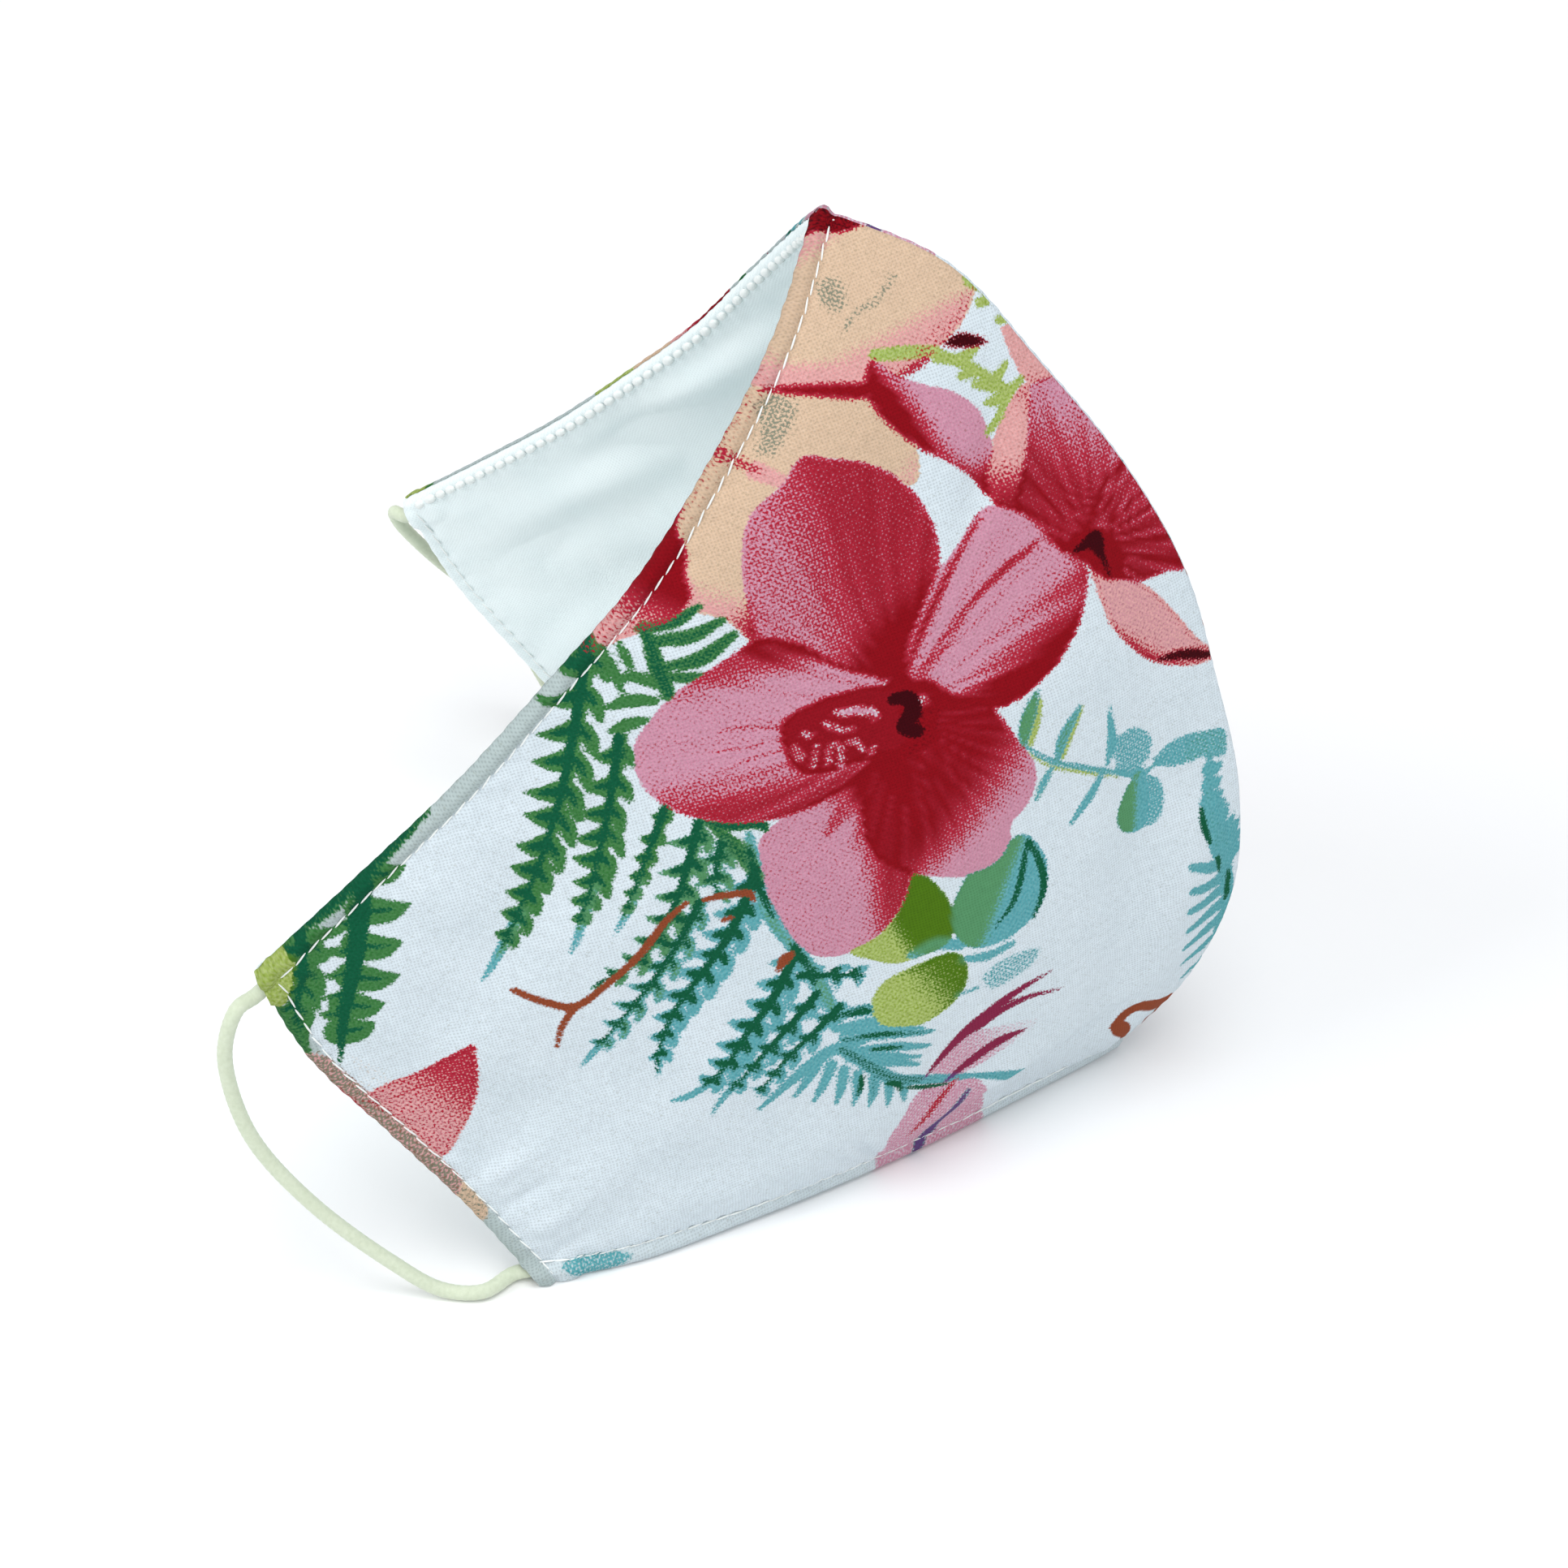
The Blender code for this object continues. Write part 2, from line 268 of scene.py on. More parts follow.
loops = {}
for word, side in (("right", 1), ("left", -1)):
    route = loopRoute(elasticLoop[word])
    shares = np.linspace(0, 1, elasticLoop["tubeSteps"] + 1)
    centres = inFrame(readEdge(route, shares), side)
    centres = np.vstack([centres[:1]] * 2 + [centres] + [centres[-1:]] * 2)
    centres = sum(centres[k:k + len(shares)] for k in range(5)) / 5  # takes the corners off the line
    ribs = np.sin(shares * route[2] / elasticLoop["ribPitch"] * 2 * np.pi)
    radius = 0.5 * elasticLoop["diameter"] * (1 + elasticLoop["ribHeight"] * ribs)
    loop = tubePiece("elasticLoop_" + word, centres, radius, elasticLoop["tubeSides"])
    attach(loop, "root")
    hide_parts("ear_loop_" + word)
    loops[word] = loop

# Halves of the mask.
# Lengths in millimetres. Reliefs stand on the flat cut: x, y, angle, half length, half width, height.
halfForm = {
    "outerColumns": 200, "outerRows": 232, "outerRoll": 1.30, "drawnIn": 0.09, "outerWall": 0.45,
    "liningColumns": 150, "liningRows": 170, "liningRoll": 1.10, "liningWall": 0.35,
    "stitchIn": {"nose": 2.2, "ear": 2.3, "hem": 3.6}, "stitchPitch": {"nose": 2.7, "ear": 2.7, "hem": 2.4},
    "liningNoseIn": 1.0, "grooveDepth": {"nose": 0.34, "ear": 0.34, "hem": 0.42}, "grooveWidth": 0.60,
    "marginHeight": {"outer": 0.42, "lining": 0.3}, "marginWidth": 0.85, "puckerHeight": 0.15,
    "waves": ((46, 0.42), (24, 0.24), (11, 0.08), (5.5, 0.03)),
    "flatSize": (0.125, 0.177), "flatArea": {"outer": 0.0155, "lining": 0.0151},
    "outerFolds": [
        (-101, 8, 35, 5, 1.5, 0.7), (-104.4, 13, 35, 5, 1.3, -0.6), (-98.6, 3.6, 35, 4.5, 1.3, -0.6),
        (-107.4, 17.4, 35, 5, 1.4, 0.6), (-51, 7, 128, 6, 0.9, -0.7), (-49.4, 8.2, 124, 6, 0.9, 0.5),
        (-54.5, 6.5, 136, 5, 0.8, -0.5), (-62, 8, 110, 6, 1.2, 0.35), (-34, 117, 62, 9, 3.0, -1.3),
        (-30, 119, 62, 9, 3.5, 1.1), (-10, 44, 88, 26, 6, -1.3), (-1, 40, 86, 20, 5, 0.7),
        (-22, 12, 22, 20, 3.0, -1.2), (-20, 17, 22, 20, 4, 0.9), (-108, 42, 60, 16, 5, 1.0),
        (-95, 14, 35, 14, 5, 0.9), (-104, 27, 50, 12, 4, -0.8), (-60, 20, 5, 30, 8, -0.8),
        (-75, 8, 12, 26, 4, 0.6)],
    "liningFolds": [
        (-84, 98, 40, 15, 4.2, 2.0), (-93, 84, 36, 15, 4.0, -1.4), (-72, 110, 44, 14, 3.8, 1.5),
        (-62, 124, 50, 12, 3.2, -1.0), (-106, 68, 42, 13, 4.0, 1.9), (-114, 54, 48, 12, 3.6, -1.2),
        (-78, 80, 30, 16, 4.8, -1.2), (-92, 62, 30, 18, 5.4, 1.5), (-100, 40, 56, 14, 4.6, 1.2),
        (-112, 30, 62, 10, 3.4, 1.0)],
}
edgeBand = np.array([0, 0.04, 0.16, 0.34, 0.58, 0.88, 1.25, 1.75]) * mm


def bandedShares(length, count):  # rows close together in the rolled edges, even between them
    first = edgeBand / np.asarray(length)[..., None]
    middle = np.linspace(0, 1, count - 2 * len(edgeBand) + 3)[1:-1]
    inner = first[..., -1:] + (1 - 2 * first[..., -1:]) * middle
    return np.concatenate([first, inner, 1 - first[..., ::-1]], axis=-1)


def halfNet(columns, rows):
    guess = np.linspace(0, 1, 41)
    uRun = [np.linalg.norm(np.diff(clothAt(guess, s), axis=0), axis=1).sum() for s in guess]
    vRun = [np.linalg.norm(np.diff(clothAt(s, guess), axis=0), axis=1).sum() for s in guess]
    v0, u0 = np.linspace(0, 1, rows + 1), np.linspace(0, 1, columns + 1)
    u = bandedShares(np.interp(v0, guess, uRun), columns)
    v = bandedShares(np.interp(u0, guess, vRun), rows).T
    return u, v


def fromEdges(flat):  # distance to each edge of the cut and the run along it, in millimetres
    out = {}
    pts = flat.reshape(-1, 2)
    for name in edgeNames:
        line = readEdge(cutEdge[name], np.linspace(0, 1, 61))
        best, along, run = np.full(len(pts), 1e9), np.zeros(len(pts)), 0.0
        for p, q in zip(line[:-1], line[1:]):
            d = q - p
            span = np.linalg.norm(d)
            t = np.clip(((pts - p) @ d) / (d @ d), 0, 1)
            far = np.linalg.norm(pts - p - t[:, None] * d, axis=1)
            along = np.where(far < best, run + t * span, along)
            best = np.minimum(best, far)
            run += span
        out[name] = best.reshape(flat.shape[:-1]), along.reshape(flat.shape[:-1])
    return out


def rolled(distance, radius):  # depth of a turned edge
    k = np.clip(1 - distance / radius, 0, 1)
    return radius * (1 - np.sqrt(1 - k ** 2))


def foldsAt(flat, folds):
    x, y = flat[..., 0], flat[..., 1]
    out = np.zeros(x.shape)
    for cx, cy, turn, halfLength, halfWidth, height in folds:
        a = math.radians(turn)
        run = (x - cx) * math.cos(a) + (y - cy) * math.sin(a)
        side = -(x - cx) * math.sin(a) + (y - cy) * math.cos(a)
        out += height * np.exp(-(run / halfLength) ** 2 - (side / halfWidth) ** 2)
    return out


def stitchInset(kind, name):
    return halfForm["liningNoseIn"] if (kind, name) == ("lining", "nose") else halfForm["stitchIn"][name]


def hemRelief(away, kind):  # the padded margin, the line of stitches in it and its puckers
    out = np.zeros(away["hem"][0].shape)
    for name in halfForm["stitchIn"]:
        inset = stitchInset(kind, name)
        far, run = away[name]
        pitch = halfForm["stitchPitch"][name]
        line = np.exp(-((far - inset) / halfForm["grooveWidth"]) ** 2)
        strong = halfForm["grooveDepth"][name]
        out -= line * (strong + 0.5 * strong * np.cos(2 * np.pi * run / pitch))
        out += halfForm["marginHeight"][kind] * np.exp(-((far - 0.5 * inset) / halfForm["marginWidth"]) ** 2)
        pucker = np.exp(-((far - inset - 1.6) / 1.1) ** 2) * np.cos(2 * np.pi * run / (2.3 * pitch) + 1.0)
        out += halfForm["puckerHeight"] * pucker
    far, run = away["seam"]
    return out - 0.12 * np.exp(-((far - 1.6) / 0.9) ** 2) * (1 + np.cos(2 * np.pi * run / 3.1))


def waves(flat, seed):  # slow unevenness of hand-sewn cloth
    rng = np.random.default_rng(seed)
    out = np.zeros(flat.shape[:-1])
    for size, height in halfForm["waves"]:
        for _ in range(4):
            a, shift = rng.uniform(0, 2 * np.pi, 2)
            along = flat[..., 0] * math.cos(a) + flat[..., 1] * math.sin(a)
            out += 0.5 * height * np.sin(along * 2 * np.pi / size + shift)
    return out


def surfaceAt(kind, side, u, v):  # the outer face or the lining's inner face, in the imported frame
    flat = flatAt(u, v)
    away = fromEdges(flat)
    hem = np.minimum(np.minimum(away["hem"][0], away["nose"][0]), away["ear"][0])
    edge = np.minimum(hem, away["seam"][0])
    calm = np.clip(edge / 6, 0, 1) ** 1.5
    over = overElastic(u, v)
    if kind == "outer":
        depth = rolled(edge, halfForm["outerRoll"]) * (1 - over) - 0.55 * over
        relief = foldsAt(flat, halfForm["outerFolds"]) * calm + waves(flat, 3 + side) * calm
        depth = depth - relief - hemRelief(away, kind)
    else:
        depth = maskForm["thickness"] / mm - rolled(edge, halfForm["liningRoll"]) * (1 - over) + 0.5 * over
        relief = foldsAt(flat, halfForm["liningFolds"]) * calm + waves(flat, 9 + side) * calm
        depth = depth + np.maximum(relief, -0.6 - 0.2 * relief) + hemRelief(away, kind)
    drawn = {}
    for name in ("nose", "ear", "hem"):  # the edge drawn in a little by each stitch
        far, run = away[name]
        beat = 2 * np.pi * run / halfForm["stitchPitch"][name]
        pull = 1 + 0.6 * np.cos(beat) + 0.4 * np.cos(0.43 * beat + 1)
        drawn[name] = halfForm["drawnIn"] * hill(far / 2.2) * pull * (1 - over)
    p = clothAt(u - drawn["ear"] / 120, v + (drawn["hem"] - drawn["nose"]) / 120)
    n = outwardAt(u, v)
    free = np.ones(p.shape)
    free[..., 0] = np.where(u <= 0, 0, 1)
    free[..., 2] = np.where(v <= 0, 0, 1)
    kept = n * free
    p = p - (depth * mm)[..., None] * kept / (kept ** 2).sum(-1, keepdims=True)
    p[..., 0] = np.maximum(p[..., 0], maskForm["seamGap"] / 2)
    p[..., 2] = np.maximum(p[..., 2], 0.00005)
    return inFrame(p, side)


# The print.
# Places on the flat cut in millimetres. Each row is drawn over the rows before it:
# "patch" is a filled shape, "tint" adds ink to what is there, "line" and "over" are strokes
# (x, y, half width), the first clearing the cloth under it and the second not, "frond" is a
# stem with leaflets: its leaflets' lengths, pitch, width and kind. The inks come before the
# outlines. A tone is a number, or a list of ramps, rays and rims that add up.
inkOrder = ["peach", "salmon", "pink", "grey", "lime", "teal", "green", "deep", "brown", "plum", "crimson",
            "dark"]
inkColour = {
    "peach": (208, 178, 149), "salmon": (212, 146, 144), "pink": (194, 127, 151), "grey": (128, 130, 112),
    "lime": (142, 168, 52), "teal": (70, 152, 160), "green": (44, 110, 48), "deep": (6, 82, 52),
    "brown": (138, 68, 42), "plum": (130, 36, 68), "crimson": (172, 28, 50), "dark": (58, 2, 10),
}
inkDepth = {"crimson": (126, 8, 20)}  # where an ink lies thickest
olive = (74, 112, 18)  # the green over the lime
jade = (84, 142, 98)  # the green over the teal
violet = (92, 66, 118)  # the plum over the teal
hemShadeColour = (178, 192, 191)  # painted shade on the bare cloth outside the stitches, where the hem rolls away from the light
printSpread = {"softEdge": 0.55, "seed": 11}
motifs = {}
motifs["tip"] = [
    ("patch", {"peach": 1, "salmon": [("ramp", -50, 141, -48, 134, 0, .8),
     ("ramp", -60, 142, -66, 136, 0, .7), ("ramp", -48, 150, -50, 154, 0, .6)],
     "crimson": [("ramp", -42, 141, -38, 135, 0, .42), ("ramp", -58, 138, -66, 133, 0, .25)]}, [(-55, 155),
     (-60, 145), (-66, 136), (-64, 133.5), (-56, 131.5), (-50, 131.5), (-44, 133), (-38, 136), (-34, 139.5),
     (-32.5, 143), (-38, 151), (-48, 157)]),
    ("patch", {"crimson": 1, "dark": .45}, [(-57, 152), (-53, 153.3), (-49.5, 152.6), (-46, 153),
     (-43, 151.3), (-39, 149.5), (-44, 158), (-55, 158)]),
    ("tint", {"grey": .5}, [(-54.5, 146.3), (-52, 146.8), (-51, 143.5), (-52.5, 141.8), (-54.5, 143.5)]),
    ("over", {"grey": .9}, [(-52.2, 139.6, .2), (-50.5, 141.2, .15), (-47.2, 142.4, .2), (-45, 144.2, .2),
     (-43.6, 145.8, .12)]),
]
motifs["peachPetal"] = [
    ("patch", {"peach": 1, "salmon": [("ramp", -72, 112, -77, 101, 0, .9),
     ("ramp", -50, 122, -46, 118, 0, .5)], "crimson": [("ramp", -72, 107, -69, 100, 0, .75),
     ("ramp", -66, 128, -70, 131, 0, .5)]}, [(-67, 134), (-73, 126), (-80, 116), (-79.5, 111), (-78, 105),
     (-74, 103), (-69, 98), (-67, 103), (-69, 110), (-68, 117), (-63, 121), (-60, 123.5), (-55, 121.8),
     (-49, 118.5), (-45.5, 117.5), (-44.5, 120), (-46, 124), (-50, 129), (-55, 131.3), (-61, 133)]),
    ("over", {"crimson": .6}, [(-74, 127.4, 1.3), (-70.4, 125.4, 1.1), (-66.6, 122.6, .7)]),
    ("over", {"salmon": .85}, [(-67, 122.8, 1.4), (-62.6, 119.8, .9)]),
    ("tint", {"grey": .48}, [(-66.5, 132), (-63, 133), (-60.5, 131), (-62, 127.5), (-64.5, 124.5),
     (-66.5, 125), (-65.8, 128)]),
    ("patch", {"salmon": 1, "crimson": [("ramp", -85, 101, -80, 108, .32, 1)]}, [(-76.8, 119), (-82, 113),
     (-88, 105), (-92, 99.5), (-86, 101.5), (-80, 103.5), (-77.4, 106.5), (-77.8, 109.5), (-77.2, 113),
     (-78.2, 116)]),
]
motifs["midSpear"] = [
    ("patch", {"pink": .9, "peach": .7, "crimson": [("ramp", -41, 127, -46, 123.5, .12, 1.1),
     ("ramp", -36, 122, -34, 114, 0, .9)]}, [(-49.6, 135), (-51.2, 131), (-49.5, 127.5), (-46, 123.5),
     (-41, 120.3), (-36.5, 117), (-33.5, 114), (-31.8, 116), (-33, 121), (-35, 126), (-38.5, 128.6),
     (-43, 130), (-47, 132)]),
    ("over", {"crimson": 1}, [(-64.5, 133.8, .35), (-60, 132.7, .8), (-55, 131.6, 1.1), (-50.5, 130.8, 1.2),
     (-48, 130.2, .8)], [(-49.6, 134.6, .5), (-50, 132, 1.3), (-48.8, 128.8, 2.0), (-46, 125, 1.6),
     (-42.5, 121.8, .7)]),
    ("over", {"crimson": .8}, [(-46.5, 131.8, .5), (-43, 133, .7), (-41, 134, .3)]),
    ("over", {"lime": 1, "peach": .4}, [(-49, 135.4, .9), (-45, 134.8, 1.0), (-40.5, 134.2, .9)]),
    ("over", {"lime": 1}, [(-40.5, 133.6, .9), (-37, 132.6, .8), (-34.5, 131.3, .8), (-31.5, 129.2, .8),
     (-29.5, 127, .9), (-31.5, 124, .7), (-33.5, 122.6, .6)], [(-36.5, 132.8, .9), (-33.8, 134.2, .5)],
     [(-34.8, 131.2, .9), (-37.2, 130.6, .5)], [(-31.8, 129, 1.0), (-29.3, 131.4, .5)],
     [(-31.5, 128.6, 1.0), (-35, 129.4, .5)], [(-30, 127, 1.0), (-26.5, 129.2, .5)], [(-30, 126.6, 1.0),
     (-33.2, 126.6, .5)], [(-31, 124.4, .9), (-27.5, 124.6, .5)], [(-33.5, 142.8, .9), (-31.8, 141.6, .5)],
     [(-32.5, 139.8, .6), (-29.8, 140.2, .7)], [(-29.4, 137.4, .6), (-27.2, 136.9, .5)]),
    ("over", {"crimson": 1, "dark": .75}, [(-39, 134.9, .3), (-36.5, 135.2, 1.0), (-34, 135.0, .8),
     (-31.8, 134.8, .25)]),
]
motifs["seamBloom"] = [
    ("patch", {"salmon": 1, "crimson": [("ramp", -23, 131, -24, 126, .1, .5)]}, [(-29, 136), (-27.5, 131),
     (-25.5, 128), (-21, 127.5), (-16, 123), (-18, 130), (-24, 137)]),
    ("patch", {"salmon": 1, "peach": .5, "crimson": [("ramp", -31, 121, -31, 112, .1, .9),
     ("ramp", -30, 124, -27, 127, 0, .3)]}, [(-33, 111.8), (-34.4, 115.5), (-33, 119.5), (-31.5, 123),
     (-29, 126.5), (-26.4, 128), (-26, 124), (-28, 117), (-29.4, 111.4)]),
    ("patch", {"pink": 1, "crimson": [("ramp", -17, 127, -25, 112, .25, .88), ("rays", -19, 103, 26, .08)]},
     [(-25.6, 127.6), (-22, 128), (-19, 125.8), (-15.5, 122), (-11, 117), (-12.5, 113.5), (-17, 110),
     (-19.5, 105), (-24, 104.3), (-28, 109), (-30.4, 111.6), (-29, 116), (-27.6, 121)]),
    ("patch", {"pink": 1, "crimson": [("ramp", -8, 112, -14, 102, .72, .92), ("rays", -20, 104, 30, .15)]},
     [(-20.5, 103.5), (-18, 109), (-14.5, 112.6), (-10, 114.5), (-5, 108), (-1, 100), (-1.5, 96.4),
     (-6, 96.8), (-10, 96.6), (-14, 97.4), (-16.5, 99.6)]),
    ("patch", {"crimson": 1}, [(-24, 104.6), (-19.4, 106), (-14.6, 102.6), (-14.8, 97.8), (-17.6, 98.4),
     (-20.2, 101)]),
    ("over", {"dark": 1, "crimson": 1}, [(-22.2, 103.4, .3), (-20, 104.2, .8), (-18.6, 104.6, 1.2),
     (-18.2, 103, 1.0)]),
    ("over", {"dark": .9, "crimson": 1}, [(-18.4, 103, .8), (-17.4, 100.8, .5), (-16.6, 98.8, .4)]),
    ("patch", {"salmon": 1, "pink": .4, "crimson": [("ramp", -8, 88, -11, 83.5, .12, .75),
     ("rim", 1.1, .3)]}, [(-20, 101), (-17.5, 98.6), (-13, 97.4), (-9, 94.6), (-5, 90.2), (-1.5, 86),
     (1.5, 83), (3.8, 81), (1, 80.6), (-5, 82), (-10, 84.4), (-14, 88), (-17, 92), (-18.8, 96.5)]),
    ("over", {"crimson": 1, "dark": .7}, [(-7.5, 83.3, .4), (-3, 83, 1.0), (1, 81.8, .9), (4, 80.8, .3)]),
]
motifs["bloom"] = [
    ("patch", {"pink": 1, "crimson": [("ramp", -66, 107, -54, 110, .44, .82), ("rays", -49, 86, 34, .05),
     ("ramp", -55, 100, -51, 94, 0, .3)]}, [(-49, 90), (-56, 91.5), (-64, 95), (-69.5, 99), (-70.4, 105),
     (-70.2, 110), (-68.5, 116.5), (-64, 120), (-60.8, 123.6), (-57, 122.4), (-52, 120.6), (-47.5, 118),
     (-44.6, 114.6), (-42.9, 110.5), (-42.6, 106), (-45, 101), (-48, 95)]),
    ("patch", {"pink": 1, "crimson": [("ramp", -33, 100, -24, 91, .16, .8),
     ("ramp", -38, 90, -36, 84.6, 0, .5), ("rays", -50, 86, 30, .17), ("rim", 1.2, .12)]}, [(-49.5, 90),
     (-46.5, 97.5), (-43, 103.5), (-38, 109.3), (-34.5, 112.2), (-31, 111.3), (-27.5, 108), (-24.5, 104.5),
     (-21.5, 101.6), (-20.6, 99.4), (-21.4, 96), (-23.5, 91.5), (-27, 87.2), (-31, 84.6), (-35, 83.4),
     (-39, 84), (-44, 86.6)]),
    ("over", {"crimson": 1}, [(-48.5, 91, .5), (-45, 98, .7), (-41, 104.5, .55), (-36, 111, .4)]),
    ("over", {"crimson": .9}, [(-47, 90, .5), (-42.6, 95, .45), (-38, 99.4, .6), (-33, 103, .75),
     (-27.6, 106, .5)], [(-46.5, 89.5, .4), (-42, 94, .35), (-39, 97.5, .2)]),
    ("patch", {"pink": 1, "crimson": [("ramp", -75, 82, -74, 73.5, .2, .8), ("rays", -44, 85, 40, .12),
     ("ramp", -66, 92, -64, 98, 0, .3), ("ramp", -80, 89, -81, 94.5, 0, .5)]}, [(-52, 91), (-58, 93.5),
     (-64, 97.6), (-69, 98.8), (-74, 96.4), (-80, 92.6), (-84, 88.6), (-86.6, 84.6), (-86.2, 80),
     (-83.3, 76), (-79, 73.6), (-73, 72), (-66, 72.4), (-58, 75), (-52, 80)]),
    ("over", {"crimson": .75}, [(-75, 86.2, .25), (-71, 86.4, .35), (-66.5, 86, .3)]),
    ("over", {"crimson": .7}, [(-76.5, 83.2, .2), (-72, 83.4, .3), (-69, 84, .2)], [(-75, 80.2, .2),
     (-71, 81.6, .3), (-67, 82.6, .25)]),
    ("patch", {"pink": 1, "crimson": [("ramp", -58, 62, -52, 63, .22, .84), ("rays", -50, 82, 36, .05),
     ("ramp", -60, 70, -58, 75, 0, .4)]}, [(-51, 80), (-59, 75), (-66, 72.2), (-70.2, 69), (-70.2, 62),
     (-68, 55), (-65, 50.2), (-61, 47.7), (-57, 47.7), (-53, 49.7), (-50, 54), (-48.4, 60), (-48, 70)]),
    ("over", {"crimson": .64}, [(-54.5, 77, 1.2), (-58, 72.6, 1.6), (-61, 68.2, .8)]),
    ("over", {"crimson": .62}, [(-54, 75, 1.0), (-55.6, 70, 1.2), (-56.8, 65, .5)]),
    ("patch", {"pink": 1, "crimson": [("ramp", -33, 65, -43, 73, .24, .98), ("rays", -49, 84, 40, .06),
     ("ramp", -40, 58, -43, 65, -.22, 0)]}, [(-50, 82), (-45, 85.5), (-39, 85), (-35.6, 82.4),
     (-32.6, 77.6), (-30, 73.6), (-29.2, 70), (-30.4, 66.6), (-33, 64), (-33, 60.5), (-35, 58), (-39, 57.2),
     (-44, 58.2), (-48.6, 59.8), (-54, 64), (-55.5, 72), (-54, 79)]),
    ("over", {"crimson": 1}, [(-53, 79, 2.2), (-50.5, 76, 2.6), (-49, 71, 1.2)]),
    ("over", {"crimson": 1, "dark": .3}, [(-52, 84, 3.0), (-48, 81.4, 3.2), (-44.4, 84.5, 1.4)]),
    ("over", {"crimson": 1}, [(-46, 84.6, 1.4), (-41, 85, 1.0), (-37, 84.2, .5)], [(-49, 88.6, 1.2),
     (-46, 88.4, 1.4), (-43, 86.6, .9)], [(-49.5, 86, 3.0), (-49.6, 91, 1.8), (-50, 95, 1.0),
     (-51, 99, .3)], [(-45, 86.6, 1.1), (-38, 84.8, .9), (-31, 85.4, .8), (-25.5, 89.6, .7),
     (-22.4, 95, .4)]),
    ("patch", {"crimson": .97}, [(-50, 89.2), (-56, 89.6), (-62, 88.6), (-66.4, 86.4), (-66.4, 82.6),
     (-64.6, 79), (-60, 78.4), (-55, 79.4), (-49, 80)]),
    ("line", {"pink": .62}, [(-59.2, 87, .35), (-57.2, 86.6, .75), (-55.6, 86.8, .5)], [(-55.6, 86.2, .5),
     (-53.8, 86, .7), (-53.2, 84.6, .35)]),
    ("line", {"pink": .6}, [(-60.4, 85.4, .45), (-58.6, 84.2, .4), (-56.8, 84, .3)], [(-63.6, 84.4, .5),
     (-62.6, 84, .4)], [(-65.2, 82.6, .4), (-64.2, 80.8, .55)], [(-62, 82.4, .3), (-62.6, 79.4, .4)],
     [(-60.4, 79.2, .4), (-60, 82, .35), (-58.8, 82, .35), (-58.6, 78.6, .45)], [(-57.6, 82, .4),
     (-56.2, 82, .4), (-55.4, 80.2, .3)], [(-53.9, 80.6, .4), (-54.3, 79.6, .35)]),
    ("over", {"dark": 1}, [(-50.6, 87.2, .9), (-48.4, 87, 1.2), (-47.8, 84.8, 1.3), (-49.2, 83, 1.2),
     (-47.6, 82, 1.1)]),
]
motifs["longFern"] = [
    ("frond", {"green": 1, "deep": .42}, [(-91, 101), (-93, 92), (-95.6, 82), (-99, 71.5), (-103.4, 61),
     (-107, 54)], [4.8, 5.8, 5.4, 4.8, 4.0, 3.0, 1.4], 5.4, 1.25, "pinnate"),
    ("frond", {"green": 1, "deep": .36}, [(-88.5, 86), (-90, 78), (-91.8, 70), (-94, 63), (-96, 57.6)],
     [3.4, 4.4, 4.2, 3.0, 1.0], 4.4, 1.1, "pinnate"),
    ("frond", {"green": 1, "deep": .4}, [(-82.5, 76), (-85, 70), (-87.5, 64), (-89.8, 59)],
     [1.8, 2.2, 1.8, .8], 3.6, 1.0, "pinnate"),
    ("over", {"teal": 1}, [(-103.4, 61, .9), (-105.6, 57, .75), (-107.4, 53.6, .6), (-109.2, 50.8, .2)]),
    ("over", {"teal": .85}, [(-93.2, 64.4, .7), (-94.6, 61, .8), (-96, 57, .65), (-97, 54.6, .3)],
     [(-87.2, 64.6, .6), (-88.6, 61, .7), (-90, 58.6, .55), (-91, 56.6, .2)]),
    ("over", {"green": 1, "deep": .3}, [(-89.8, 100.4, .7), (-88.4, 96.6, .8), (-87.4, 92.4, .4)]),
    ("over", {"green": 1}, [(-87.2, 100.4, .5), (-86.4, 98, .7), (-85.8, 95.6, .3)]),
    ("over", {"green": 1, "deep": .3}, [(-88.2, 95, .4), (-85.6, 95.2, .9), (-82.8, 93.4, .7)]),
    ("over", {"green": 1, "deep": .55}, [(-84.5, 102.4, .7), (-80, 103, 1.1), (-76.4, 104.8, .5)]),
    ("over", {"green": 1, "deep": .5}, [(-83, 100.4, .8), (-78, 100.6, 1.1), (-73.8, 102.4, .6)],
     [(-81.6, 96.4, .7), (-77.4, 97, 1.2), (-72.6, 100, .7)], [(-81.6, 95, .4), (-79.4, 94.4, .9),
     (-77, 94.6, .4)]),
    ("over", {"green": 1, "deep": .6}, [(-83.8, 103, .8), (-82.6, 96, 1.2), (-81.6, 91.6, .9)]),
    ("over", {"green": 1}, [(-89.4, 91, .5), (-86.6, 91.6, 1.1), (-83.6, 91.2, .7)], [(-89.6, 87.2, .5),
     (-87.4, 88, 1.0), (-84.8, 88.4, .5)]),
]
